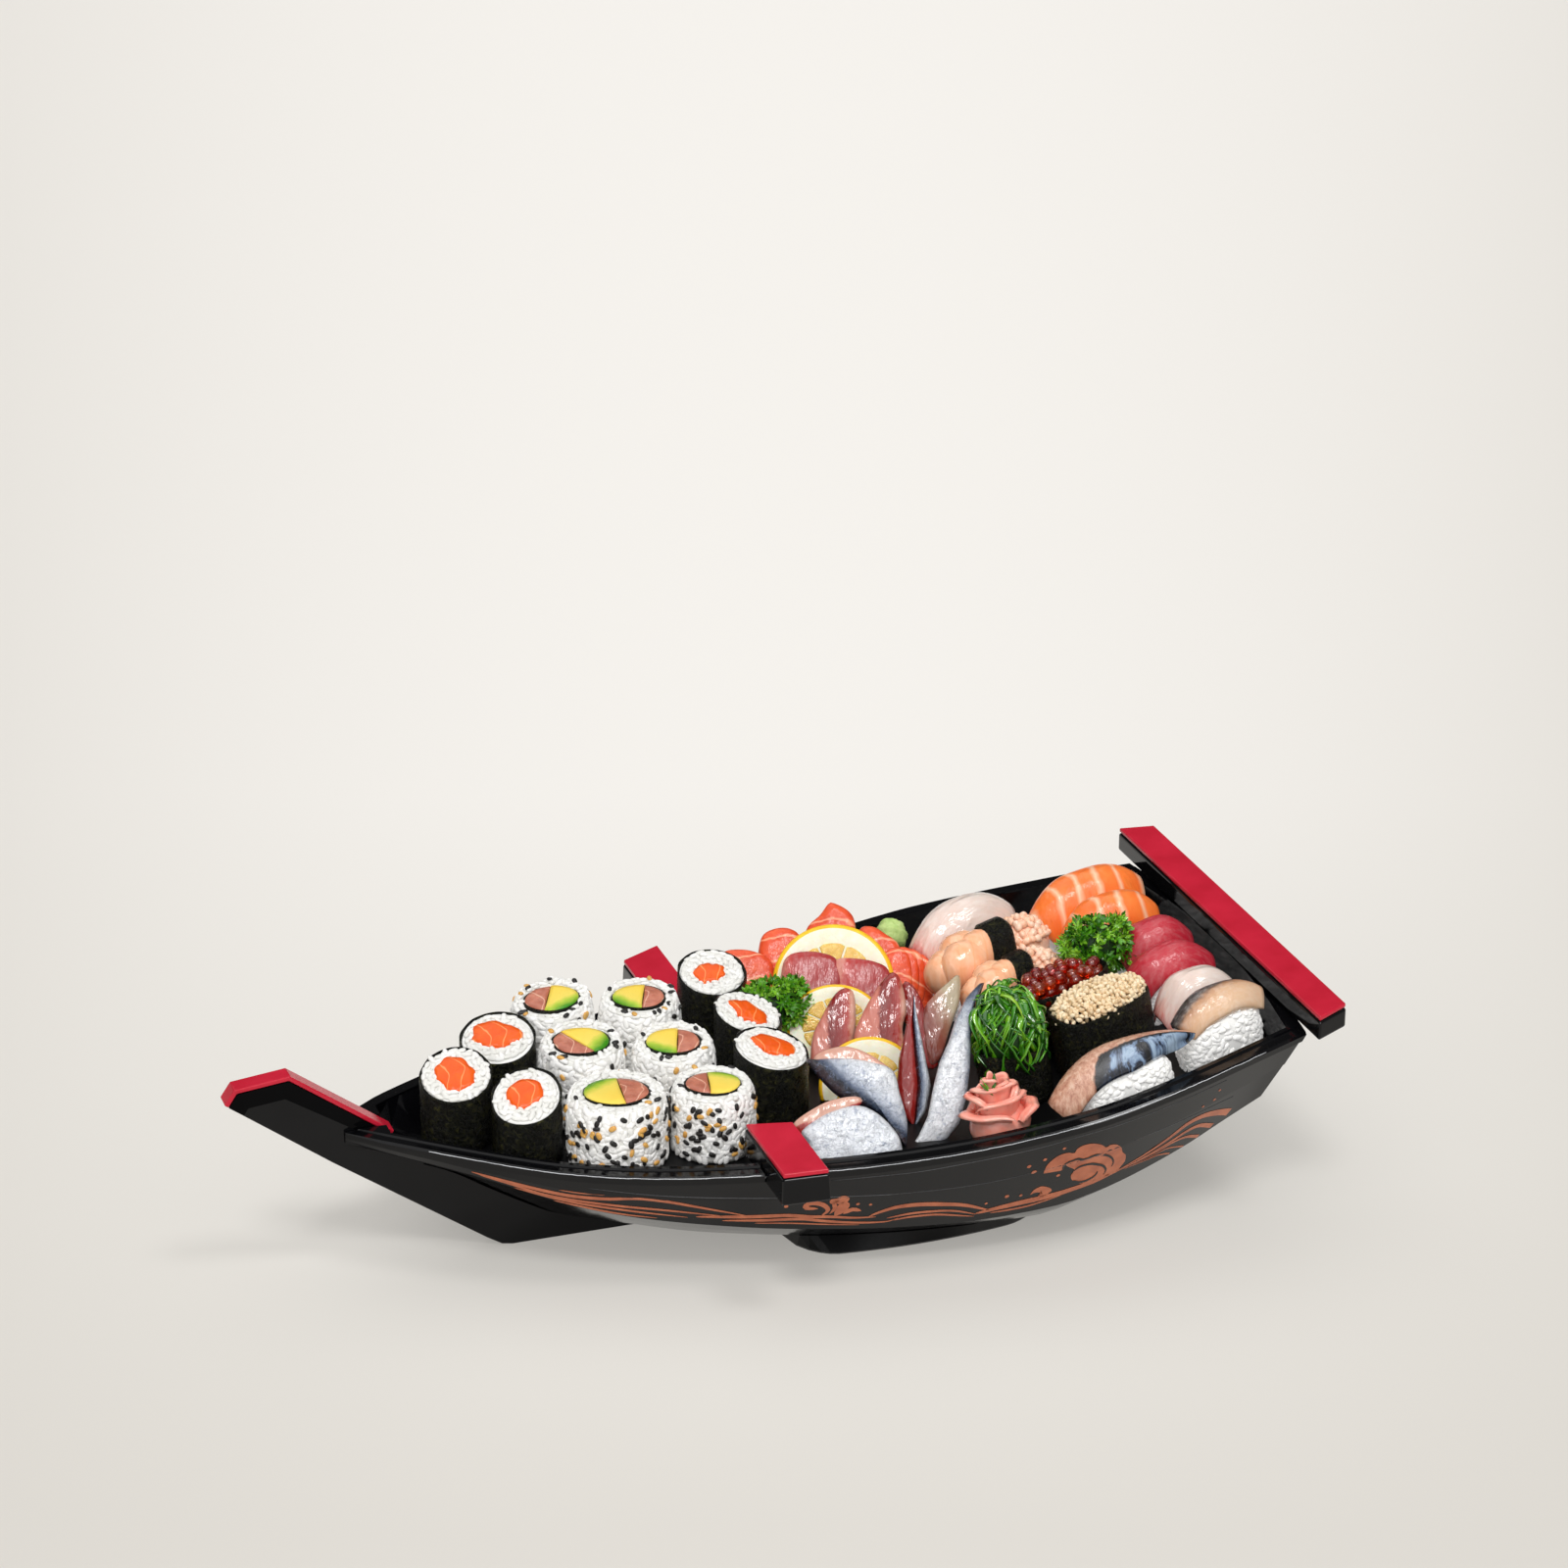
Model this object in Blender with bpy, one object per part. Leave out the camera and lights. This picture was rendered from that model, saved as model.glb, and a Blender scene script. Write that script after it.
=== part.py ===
"""Loaded sushi boat: a black moulded serving boat with red-topped fittings and its sushi."""
import math

import bmesh
import bpy
import numpy as np
from mathutils import Matrix, Vector

for old in list(bpy.data.objects):
    bpy.data.objects.remove(old, do_unlink=True)

MM = 0.001

# Driving dimensions in millimetres; x runs from bow to stern, y to starboard, z up
STEM_REACH = 212.4
GAP = 0.3
RIM_WIDTH = 8.5
RIM_BEAD = 2.2
RIM_GROOVE = 0.8
RIM_FACE = 4.6
STRAKE_STEP = 0.7
WALL = 3.4
LEDGE = 4.0
DECK_TOP = 48.0
DECK_THICK = 3.0
RAMP_START = 69.5
RAMP_SLOPE = 0.18
STERN_BULGE = 8.0
STEM_THICK = 9.6
STEM_TOP_THICK = 8.4
STEM_BEVEL = 6.5
CAP_THICK = 1.8
CAP_SHORT = 11.0
BAR_WIDTH = 14.2
BAR_HEIGHT = 10.2
BAR_LAP = 0.3
BLOCK_WIDTH = 16.8
BLOCK_HEIGHT = 13.0
VIEW_TURN = math.radians(19.0)
SLICE_LEAN = math.radians(35.0)

# Lines of the hull, one row per station:
# gunwale x, half beam, height, chine x, half width, height, bottom x, half width, height
HULL_LINES = [
    (-166.5, 6.4, 60.4, -166.5, 6.0, 57.0, -166.5, 5.6, 55.3),
    (-150.5, 20.5, 60.6, -150.5, 16.4, 53.4, -150.5, 4.3, 48.0),
    (-137.5, 30.0, 59.8, -137.5, 25.1, 51.2, -137.5, 4.4, 42.3),
    (-124.5, 38.8, 58.8, -124.5, 33.6, 48.6, -124.5, 4.5, 36.2),
    (-110.5, 47.7, 57.7, -110.5, 40.5, 44.5, -110.5, 4.6, 27.2),
    (-96.5, 55.6, 56.6, -96.5, 45.9, 39.3, -96.5, 4.8, 18.5),
    (-82.5, 61.9, 55.8, -82.5, 50.2, 34.8, -82.5, 6.0, 11.0),
    (-68.5, 67.2, 55.2, -68.5, 53.9, 31.2, -68.5, 10.0, 8.0),
    (-54.5, 72.2, 55.1, -54.5, 57.3, 28.4, -54.5, 18.0, 7.3),
    (-36.5, 78.8, 55.9, -36.5, 62.0, 25.8, -36.5, 30.0, 7.3),
    (-15.5, 86.2, 57.4, -15.5, 67.8, 23.7, -15.5, 40.0, 7.3),
    (9.5, 93.7, 59.1, 9.5, 73.2, 21.8, 9.5, 49.5, 7.3),
    (39.5, 100.2, 61.6, 39.5, 77.4, 19.8, 39.5, 57.0, 7.3),
    (69.5, 104.6, 64.8, 69.5, 79.6, 18.9, 69.5, 61.0, 7.3),
    (99.5, 106.4, 68.7, 99.5, 79.6, 19.8, 99.5, 63.0, 7.6),
    (115.5, 105.6, 70.9, 115.5, 79.2, 22.6, 115.5, 64.0, 12.0),
    (129.5, 103.8, 73.0, 129.5, 78.4, 26.2, 129.5, 65.0, 17.5),
    (144.5, 101.3, 75.3, 144.5, 76.6, 30.7, 144.5, 65.0, 24.0),
    (159.5, 98.2, 77.7, 158.0, 74.6, 35.2, 157.5, 64.0, 30.5),
    (174.5, 94.9, 80.2, 170.5, 73.0, 40.5, 169.5, 62.0, 36.5),
    (187.5, 91.8, 82.2, 180.5, 72.8, 45.5, 178.5, 60.0, 42.0),
    (200.0, 88.6, 84.0, 188.5, 74.0, 50.5, 185.5, 58.0, 46.5),
]

# Colours of the finished pieces
BLACK = (0.012, 0.012, 0.014, 1.0)
RED = (0.42, 0.012, 0.02, 1.0)
RICE = (0.83, 0.82, 0.78, 1.0)
NORI = (0.018, 0.024, 0.014, 1.0)
SALMON = (0.86, 0.22, 0.06, 1.0)
TUNA = (0.42, 0.05, 0.06, 1.0)
WHITE_FISH = (0.75, 0.58, 0.50, 1.0)
SHRIMP = (0.86, 0.44, 0.20, 1.0)
SILVER_FISH = (0.50, 0.53, 0.57, 1.0)
RED_FISH = (0.50, 0.16, 0.13, 1.0)
SEARED_FISH = (0.52, 0.34, 0.22, 1.0)
LEMON = (0.90, 0.72, 0.18, 1.0)
LEAF = (0.06, 0.22, 0.02, 1.0)
SEAWEED = (0.04, 0.25, 0.03, 1.0)
ROE = (0.45, 0.05, 0.01, 1.0)
CRUMB = (0.76, 0.60, 0.38, 1.0)
GINGER = (0.90, 0.35, 0.30, 1.0)
WASABI = (0.46, 0.58, 0.22, 1.0)


def material(name, colour, rough, metal=0.0):
    mat = bpy.data.materials.new(name)
    mat.use_nodes = True
    node = mat.node_tree.nodes["Principled BSDF"]
    node.inputs["Base Color"].default_value = colour
    node.inputs["Roughness"].default_value = rough
    node.inputs["Metallic"].default_value = metal
    mat.diffuse_color = colour
    return mat


def add_solid(name, verts, faces, colour, rough, origin=(0.0, 0.0, 0.0)):
    """Make one closed object from millimetre points given in the frame of the boat."""
    centre = Vector((CENTRE_SHIFT, 0.0, 0.0))
    start = Vector(origin) - centre
    mesh = bpy.data.meshes.new(name)
    points = [(Vector(v) - centre - start) * MM for v in verts]
    mesh.from_pydata([tuple(p) for p in points], [], faces)
    bm = bmesh.new()
    bm.from_mesh(mesh)
    bmesh.ops.remove_doubles(bm, verts=bm.verts, dist=0.00001)
    bmesh.ops.recalc_face_normals(bm, faces=bm.faces)
    bm.to_mesh(mesh)
    bm.free()
    obj = bpy.data.objects.new(name, mesh)
    obj.location = start * MM
    obj.data.materials.append(material(name + "_finish", colour, rough))
    bpy.context.scene.collection.objects.link(obj)
    return obj


def loft(loops):
    """Closed skin through loops of equal length, with a fan of faces on each end."""
    count = len(loops[0])
    verts = [tuple(p) for loop in loops for p in loop]
    faces = []
    for i in range(len(loops) - 1):
        for j in range(count):
            k = (j + 1) % count
            a = i * count
            faces.append((a + j, a + k, a + count + k, a + count + j))
    for index, loop in ((0, loops[0]), (len(loops) - 1, loops[-1])):
        centre = len(verts)
        mid = np.mean(np.array(loop), axis=0)
        verts.append(tuple(mid))
        base = index * count
        for j in range(count):
            faces.append((base + j, base + (j + 1) % count, centre))
    return verts, faces


def cut_away(obj, cutters):
    """Take the cutters out of the object and drop them."""
    for cutter in cutters:
        cutter.hide_render = True
        cutter.display_type = "WIRE"
        mod = obj.modifiers.new("cut_" + cutter.name, "BOOLEAN")
        mod.operation = "DIFFERENCE"
        mod.solver = "EXACT"
        mod.object = cutter
    bpy.context.view_layer.update()
    graph = bpy.context.evaluated_depsgraph_get()
    result = bpy.data.meshes.new_from_object(obj.evaluated_get(graph))
    obj.modifiers.clear()
    obj.data = result
    bm = bmesh.new()
    bm.from_mesh(result)
    bmesh.ops.dissolve_degenerate(bm, dist=0.000002, edges=bm.edges)
    bmesh.ops.triangulate(bm, faces=bm.faces)
    bm.to_mesh(result)
    bm.free()
    for cutter in cutters:
        bpy.data.objects.remove(cutter, do_unlink=True)


def smooth_curve(xs, ys, x):
    """Cubic curve through the points with the slope of its neighbours at each one."""
    xs = np.asarray(xs)
    ys = np.asarray(ys)
    slope = np.gradient(ys, xs)
    i = int(np.clip(np.searchsorted(xs, x) - 1, 0, len(xs) - 2))
    h = xs[i + 1] - xs[i]
    t = (x - xs[i]) / h
    return ((1 + 2 * t) * (1 - t) ** 2 * ys[i] + t * (1 - t) ** 2 * h * slope[i]
            + t * t * (3 - 2 * t) * ys[i + 1] + t * t * (t - 1) * h * slope[i + 1])


LINES = np.array(HULL_LINES)
STATIONS = np.arange(len(HULL_LINES), dtype=float)
STERN_END = HULL_LINES[-1][0]
STERN_RIM = HULL_LINES[-1][2]
CENTRE_SHIFT = (STERN_END - BAR_LAP + BAR_WIDTH - STEM_REACH) / 2


def hull_row(s):
    """Row of the hull lines at a station number that may lie between two rows."""
    return [float(smooth_curve(STATIONS, LINES[:, c], s)) for c in range(9)]


def station_at(x):
    """Station number whose gunwale lies at x."""
    return float(np.interp(x, LINES[:, 0], STATIONS))


def keel_height(x):
    """Height of the underside of the hull on the centre line."""
    return float(smooth_curve(STATIONS, LINES[:, 8], np.interp(x, LINES[:, 6], STATIONS)))


def deck_height(x):
    return DECK_TOP + max(0.0, RAMP_SLOPE * (x - RAMP_START))


def side_point(row, drop):
    """Point of the outer side at a given drop below the gunwale, as x and y."""
    share = drop / (row[2] - row[5])
    return row[0] + (row[3] - row[0]) * share, row[1] + (row[4] - row[1]) * share


def outer_at(row, z):
    """Point of the outer skin at a height, on the side or below the chine, as x and y."""
    if z >= row[5]:
        return side_point(row, row[2] - z)
    share = max(0.0, (z - row[8]) / (row[5] - row[8]))
    return row[6] + (row[3] - row[6]) * share, row[7] + (row[4] - row[7]) * share


def inner_width(row, z):
    """Half width of the hollow at a height, leaving the wall of the hull outside it."""
    x, y = outer_at(row, z)
    wall = WALL if z >= row[5] else WALL + 3.8 * min(1.0, (row[5] - z) / 3.0)
    return x, min(row[1] - RIM_WIDTH, y - wall)


def outer_half(row):
    """Half outline of the hull at one station, from the middle of the lid down to the keel line."""
    xg, b, zg, xc, c, zc, xb, kb, zk = row
    small = min(1.0, (b - 4.0) / 14.0)
    depth = zg - zc
    face = min(RIM_FACE, 0.45 * depth)
    lip = 1.1 * small
    inner = max(0.35 * b, b - RIM_WIDTH)
    bead = inner + RIM_BEAD * small
    half_drop = face + (depth - face) * 0.42
    xf, yf = side_point(row, face)
    xm, ym = side_point(row, half_drop)
    step = STRAKE_STEP * small
    return [
        (xg, bead, zg),
        (xg, bead + 0.5 * small, zg - RIM_GROOVE * small),
        (xg, b - 1.0 * small, zg - RIM_GROOVE * small),
        (xg, b, zg - (RIM_GROOVE + 0.9) * small),
        (xf, yf + lip + 0.6 * small, zg - face),
        (xf, yf, zg - face - 0.4 * small),
        (xm, ym + step, zg - half_drop),
        (xm, ym, zg - half_drop - 0.3 * small),
        (xc, c, zc),
        (xc * 0.6 + xb * 0.4, c * 0.55 + kb * 0.45, zc * 0.55 + zk * 0.45 - 0.3 * small),
        (xb, kb, zk),
    ]


def mirror_loop(half):
    """Full loop from a half outline: starboard side going down, port side coming up."""
    return half + [(p[0], -p[1], p[2]) for p in reversed(half)]


def ladder_cap(verts, faces, start, count, bulge, flip):
    """Close a mirrored loop with rungs from side to side, rounded by the bulge."""
    half = count // 2
    rungs = 6
    rows = []
    for j in range(half):
        a = np.array(verts[start + j])
        b = np.array(verts[start + count - 1 - j])
        row = [start + j]
        for r in range(1, rungs):
            t = r / rungs
            p = a * (1 - t) + b * t
            p[0] += bulge * 4 * t * (1 - t)
            row.append(len(verts))
            verts.append(tuple(p))
        row.append(start + count - 1 - j)
        rows.append(row)
    for j in range(half - 1):
        for r in range(rungs):
            quad = (rows[j][r], rows[j][r + 1], rows[j + 1][r + 1], rows[j + 1][r])
            faces.append(tuple(reversed(quad)) if flip else quad)
    return rows


def skin(loops, bulge_end):
    """Closed skin through mirrored loops; both ends and the open strips are filled with rungs."""
    count = len(loops[0])
    verts = [tuple(p) for loop in loops for p in loop]
    faces = []
    for i in range(len(loops) - 1):
        a = i * count
        for j in range(count):
            k = (j + 1) % count
            if k == 0:
                continue
            if j == count // 2 - 1:
                continue
            faces.append((a + j, a + k, a + count + k, a + count + j))
    first = ladder_cap(verts, faces, 0, count, 0.0, False)
    last = ladder_cap(verts, faces, (len(loops) - 1) * count, count, bulge_end, True)
    half = count // 2
    for level in (0, half - 1):
        strip = [first[level]]
        for i in range(1, len(loops) - 1):
            a = np.array(loops[i][level])
            b = np.array(loops[i][count - 1 - level])
            share = max(0.0, (i - (len(loops) - 7)) / 6.0)
            row = [i * count + level]
            for r in range(1, 6):
                t = r / 6
                p = a * (1 - t) + b * t
                p[0] += bulge_end * share ** 2 * 4 * t * (1 - t)
                row.append(len(verts))
                verts.append(tuple(p))
            row.append(i * count + count - 1 - level)
            strip.append(row)
        strip.append(last[level])
        for i in range(len(strip) - 1):
            for r in range(6):
                faces.append((strip[i][r], strip[i][r + 1], strip[i + 1][r + 1], strip[i + 1][r]))
    return verts, faces


def build_hull():
    count = 58
    stations = np.linspace(0.0, len(HULL_LINES) - 1.0, count)
    outer = [mirror_loop(outer_half(hull_row(s))) for s in stations]
    verts, faces = skin(outer, STERN_BULGE)
    hull = add_solid("hull_shell", verts, faces, BLACK, 0.12)
    return hull


def inner_half(row):
    """Half outline of the hollow of the hull at one station."""
    xg, b, zg, xc, c, zc, xb, kb, zk = row
    top = b - RIM_WIDTH
    floor_z = zk + WALL + 1.0
    xw = xg
    for _ in range(3):
        wall_z = max(deck_height(xw) - DECK_THICK - 3 * GAP, floor_z + 1.2)
        xw, level = inner_width(row, wall_z)
    level = max(level, 3.0)
    under = max(2.0, level - LEDGE)
    low = max(1.6, min(under - 0.4, kb * 0.86))
    chine_z = max(floor_z + 0.5, min(zc + WALL + 1.5, wall_z - 1.0))
    chine = max(low + 0.2, min(under - 0.2, c - WALL - 3.0))
    return [
        (xg, top + 0.6, zg + 9.0),
        (xg, top, zg - 0.9),
        (xw, level, wall_z),
        (xw, under, wall_z - 0.02),
        (xc, chine, chine_z),
        (xb, low, floor_z),
    ]


def build_hollow():
    """Solid that is taken out of the hull to leave the tray and the space below the deck."""
    first = station_at(-150.0)
    last = len(HULL_LINES) - 1.0 - 0.42
    loops = []
    for s in np.linspace(first, last, 44):
        loops.append(mirror_loop(inner_half(hull_row(s))))
    verts, faces = skin(loops, STERN_BULGE)
    return add_solid("hollow", verts, faces, BLACK, 0.2)


def tray_half_width(x, z):
    """Half width of the hollow at a place on the deck."""
    guess = x
    for _ in range(4):
        row = hull_row(station_at(min(guess, LINES[-1, 0])))
        reach, half = inner_width(row, z)
        guess = guess + x - reach
    return half


# Profile of the stem post, from the nose over the top and down into the boat
STEM_NOSE_LOW = (-STEM_REACH, 78.2)
STEM_NOSE_TOP = (-STEM_REACH + 4.1, 84.2)
STEM_CREST = (-STEM_REACH + 25.8, 86.6)
STEM_HEEL = (-135.6, 48.9)
STEM_FOOT = (-105.6, 0.0)
KEEL_END = 0.5


def line_offset(points, distance):
    """Polyline moved to its lower side by a distance."""
    moved = []
    for i, p in enumerate(points):
        sides = []
        if i > 0:
            sides.append((points[i - 1], p))
        if i < len(points) - 1:
            sides.append((p, points[i + 1]))
        normals = []
        for a, b in sides:
            dx, dz = b[0] - a[0], b[1] - a[1]
            size = math.hypot(dx, dz)
            normals.append((dz / size, -dx / size))
        nx = sum(n[0] for n in normals)
        nz = sum(n[1] for n in normals)
        size = math.hypot(nx, nz)
        nx, nz = nx / size, nz / size
        stretch = distance / (nx * normals[0][0] + nz * normals[0][1])
        moved.append((p[0] + nx * stretch, p[1] + nz * stretch))
    return moved


def stem_profile(top_drop):
    """Side outline of the stem post and keel, with its crown lowered by a drop."""
    crown = line_offset([STEM_NOSE_LOW, STEM_NOSE_TOP, STEM_CREST, STEM_HEEL], top_drop)
    outline = list(crown[:3])
    fall = (STEM_HEEL[1] - STEM_CREST[1]) / (STEM_HEEL[0] - STEM_CREST[0])
    heel_z = crown[3][1] + fall * (STEM_HEEL[0] - crown[3][0])
    heel = (STEM_HEEL[0], max(heel_z, keel_height(STEM_HEEL[0]) + 1.5))
    outline.append(heel)
    for x in np.linspace(STEM_HEEL[0], KEEL_END, 36):
        outline.append((float(x), keel_height(float(x)) - 2 * GAP))
    outline.append((KEEL_END, 0.0))
    outline.append((STEM_FOOT[0] + 5.0, 0.0))
    outline.append((STEM_FOOT[0] + 0.6, 0.8))
    outline.append((STEM_FOOT[0] - 5.5, 4.6))
    outline.append((-171.2, 47.4))
    return outline


def plate(name, layers, colour, rough, origin):
    """Solid through side outlines standing at given y positions."""
    loops = []
    for y, outline in layers:
        loops.append([(x, y, z) for x, z in outline])
    verts = [p for loop in loops for p in loop]
    count = len(loops[0])
    faces = []
    for i in range(len(loops) - 1):
        a = i * count
        for j in range(count):
            k = (j + 1) % count
            faces.append((a + j, a + k, a + count + k, a + count + j))
    faces.append(tuple(range(count)))
    faces.append(tuple(range((len(loops) - 1) * count, len(loops) * count)))
    return add_solid(name, verts, faces, colour, rough, origin)


def build_stem():
    thin = STEM_TOP_THICK / 2
    thick = STEM_THICK / 2
    low = stem_profile(CAP_THICK + GAP + STEM_BEVEL)
    high = stem_profile(CAP_THICK + GAP)
    layers = [(-thick, low), (-thin, high), (thin, high), (thick, low)]
    post = plate("stem_post", layers, BLACK, 0.14, (-150.0, 0.0, 40.0))
    fall = (STEM_HEEL[1] - STEM_CREST[1]) / (STEM_HEEL[0] - STEM_CREST[0])
    cap_end = (STEM_HEEL[0] - CAP_SHORT, STEM_HEEL[1] - fall * CAP_SHORT)
    crown = [STEM_NOSE_LOW, STEM_NOSE_TOP, STEM_CREST, cap_end]
    under = line_offset(crown, CAP_THICK)
    outline = crown + list(reversed(under))
    layers = [(-thin, outline), (thin, outline)]
    plate("stem_cap", layers, RED, 0.22, (STEM_CREST[0], 0.0, STEM_CREST[1]))
    return post


def stem_slot():
    """Room for the stem post and its cap where they pass through the bow."""
    half = STEM_THICK / 2 + GAP
    fore = -STEM_REACH - 2.0
    back = STEM_HEEL[0] + 0.7
    low = keel_height(back) - 1.0
    high = STEM_CREST[1] + 5.0
    outline = [(fore, low), (fore, high), (STEM_CREST[0], high), (back, STEM_HEEL[1] + 4.0), (back, low)]
    return plate("slot", [(-half, outline), (half, outline)], BLACK, 0.2, (0.0, 0.0, 0.0))


# Beam blocks across the gunwales: corners of the port block, mirrored for starboard
BLOCK_FORE = -21.4
BLOCK_OUT_FORE = 102.4
BLOCK_OUT_AFT = 107.6
BLOCK_IN_FORE = 57.0
BLOCK_IN_AFT = 65.2
BLOCK_TOP_FORE = 64.7
BLOCK_TOP_AFT = 66.9


def block_loops(side, low, high, grow, draft):
    """Top and bottom outlines of a beam block between two depths below its top."""
    fore = BLOCK_FORE - grow
    aft = BLOCK_FORE + BLOCK_WIDTH + grow
    corners = [
        (fore, BLOCK_IN_FORE - grow, BLOCK_TOP_FORE),
        (aft, BLOCK_IN_AFT - grow, BLOCK_TOP_AFT),
        (aft, BLOCK_OUT_AFT + grow, BLOCK_TOP_AFT),
        (fore, BLOCK_OUT_FORE + grow, BLOCK_TOP_FORE),
    ]
    middle = np.mean(np.array(corners), axis=0)
    loops = []
    for depth in (low, high):
        spread = draft * (1.0 if depth > 6.0 else 0.0)
        loop = []
        for x, y, z in corners:
            dx = math.copysign(spread, x - middle[0])
            dy = math.copysign(spread, y - middle[1])
            loop.append((x + dx, side * (y + dy), z - depth))
        loops.append(loop)
    return loops


def rounded(obj, width, segments=2):
    """Round the edges of a solid."""
    bm = bmesh.new()
    bm.from_mesh(obj.data)
    bmesh.ops.dissolve_limit(bm, angle_limit=0.001, verts=bm.verts, edges=bm.edges)
    bmesh.ops.bevel(bm, geom=list(bm.edges), offset=width * MM, segments=segments, profile=0.5,
                    affect="EDGES", clamp_overlap=True)
    bm.to_mesh(obj.data)
    bm.free()


def build_block(side, prefix):
    origin = (BLOCK_FORE + BLOCK_WIDTH / 2, side * 82.0, 60.0)
    verts, faces = loft(block_loops(side, CAP_THICK + GAP, BLOCK_HEIGHT, 0.0, 0.5))
    block = add_solid(prefix + "_beam_block", verts, faces, BLACK, 0.14, origin)
    rounded(block, 0.8)
    verts, faces = loft(block_loops(side, 0.0, CAP_THICK, -0.3, 0.0))
    cap = add_solid(prefix + "_beam_cap", verts, faces, RED, 0.22, origin)
    rounded(cap, 0.4)


def block_room(side):
    verts, faces = loft(block_loops(side, -8.0, BLOCK_HEIGHT + GAP, GAP + 0.5, 0.0))
    return add_solid("room", verts, faces, BLACK, 0.2)


# Stern bar lying across the end of the boat
BAR_TILT = 0.115
BAR_SEAT = 0.5
BAR_HALF_FORE = 100.0
BAR_HALF_AFT = 94.4


def bar_top():
    """Height of the fore edge of the stern bar, which sits on the end of the gunwale."""
    return STERN_RIM + BAR_SEAT + BAR_HEIGHT


def bar_loops(low, high, inset):
    """Top and bottom outlines of the stern bar between two depths below its top."""
    fore = STERN_END - BAR_LAP
    aft = fore + BAR_WIDTH
    top_fore = bar_top()
    top_aft = top_fore + BAR_TILT * BAR_WIDTH
    corners = [
        (fore + inset, -BAR_HALF_FORE + inset, top_fore),
        (aft - inset, -BAR_HALF_AFT + inset, top_aft),
        (aft - inset, BAR_HALF_AFT - inset, top_aft),
        (fore + inset, BAR_HALF_FORE - inset, top_fore),
    ]
    return [[(x, y, z - d) for x, y, z in corners] for d in (low, high)]


def build_stern_bar():
    origin = (STERN_END - BAR_LAP + BAR_WIDTH / 2, 0.0, bar_top() - BAR_HEIGHT / 2)
    verts, faces = loft(bar_loops(CAP_THICK + GAP, BAR_HEIGHT, 0.0))
    bar = add_solid("stern_bar", verts, faces, BLACK, 0.14, origin)
    rounded(bar, 1.0)
    verts, faces = loft(bar_loops(0.0, CAP_THICK, 0.3))
    cap = add_solid("stern_bar_cap", verts, faces, RED, 0.22, origin)
    rounded(cap, 0.5)


def build_foot():
    """Rounded foot below the hull that the boat stands on."""
    fore = KEEL_END + 0.6
    aft = 113.0
    loops = []
    for x in np.linspace(fore, aft, 34):
        share = (x - fore) / (aft - fore)
        round_fore = math.sqrt(max(0.0, 1 - max(0.0, 1 - share / 0.16) ** 2))
        round_aft = math.sqrt(max(0.0, 1 - max(0.0, (share - 0.78) / 0.22) ** 2))
        width = 57.2 - 26.0 * (share - 0.45) ** 2
        half = max(20.0, width * (0.55 + 0.45 * round_fore) * (0.5 + 0.5 * round_aft))
        top = keel_height(x) - 2 * GAP
        row = hull_row(float(np.interp(x, LINES[:, 6], STATIONS)))
        upper = min(row[7] - 0.8, half + 4.0)
        loops.append([(x, -half, 0.0), (x, half, 0.0), (x, half + 1.2, 1.2), (x, upper, top - 0.2),
                      (x, upper - 1.0, top), (x, -upper + 1.0, top), (x, -upper, top - 0.2),
                      (x, -half - 1.2, 1.2)])
    verts, faces = loft(loops)
    add_solid("keel_foot", verts, faces, BLACK, 0.2, ((fore + aft) / 2, 0.0, 0.0))


def build_deck():
    """Board that carries the sushi, laid on the ledge inside the hull."""
    loops = []
    for x in np.concatenate([np.linspace(-126.0, RAMP_START, 26), np.linspace(RAMP_START + 6, 183.0, 14)]):
        z = deck_height(x)
        half = tray_half_width(x, z - DECK_THICK - 3 * GAP) - 1.0
        loops.append([(x, -half, z - DECK_THICK), (x, half, z - DECK_THICK), (x, half, z), (x, -half, z)])
    verts, faces = loft(loops)
    add_solid("deck_board", verts, faces, BLACK, 0.3, (30.0, 0.0, DECK_TOP))


def placed(points, x, y, heading, lift, upright):
    """Local points set on the deck at a place, turned, and pitched with the deck unless upright."""
    slope = RAMP_SLOPE if x > RAMP_START and not upright else 0.0
    turn = Matrix.Rotation(math.radians(heading), 3, "Z")
    pitch = Matrix.Rotation(-math.atan(slope), 3, "Y")
    frame = pitch @ turn
    start = Vector((x, y, deck_height(x) + GAP + lift))
    return [tuple(start + frame @ Vector(p)) for p in points], tuple(start)


def ring(length, width, power, count, scale, taper=0.0):
    """Oval outline with squared-off corners."""
    out = []
    for i in range(count):
        t = 2 * math.pi * i / count
        c, s = math.cos(t), math.sin(t)
        u = math.copysign(abs(c) ** (2 / power), c) * scale
        v = math.copysign(abs(s) ** (2 / power), s) * scale
        out.append((length / 2 * u, width / 2 * v * (1 + taper * u), u, v))
    return out


def pillow(length, width, height, power=2.8, count=24, tilt=(0.0, 0.0), crown=(0.06, 0.16), foot=0.92):
    """Rounded cushion standing on its flat underside; tilt slants the top."""
    verts = [(0.0, 0.0, height)]
    levels = [(0.5, 1.0), (0.8, 1.0), (0.94, 0.97), (1.0, 0.82), (1.0, 0.3), (foot, 0.0)]
    for scale, share in levels:
        for x, y, u, v in ring(length, width, power, count, scale):
            top = height * (1 - crown[0] * u * u - crown[1] * v * v)
            lean = tilt[0] * x + tilt[1] * y
            verts.append((x, y, top * share + lean * max(0.0, share - 0.3) / 0.7))
    verts.append((0.0, 0.0, 0.0))
    faces = []
    for j in range(count):
        k = (j + 1) % count
        faces.append((0, 1 + j, 1 + k))
        for level in range(len(levels) - 1):
            a = 1 + level * count
            faces.append((a + j, a + count + j, a + count + k, a + k))
        a = 1 + (len(levels) - 1) * count
        faces.append((a + j, len(verts) - 1, a + k))
    return verts, faces


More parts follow.
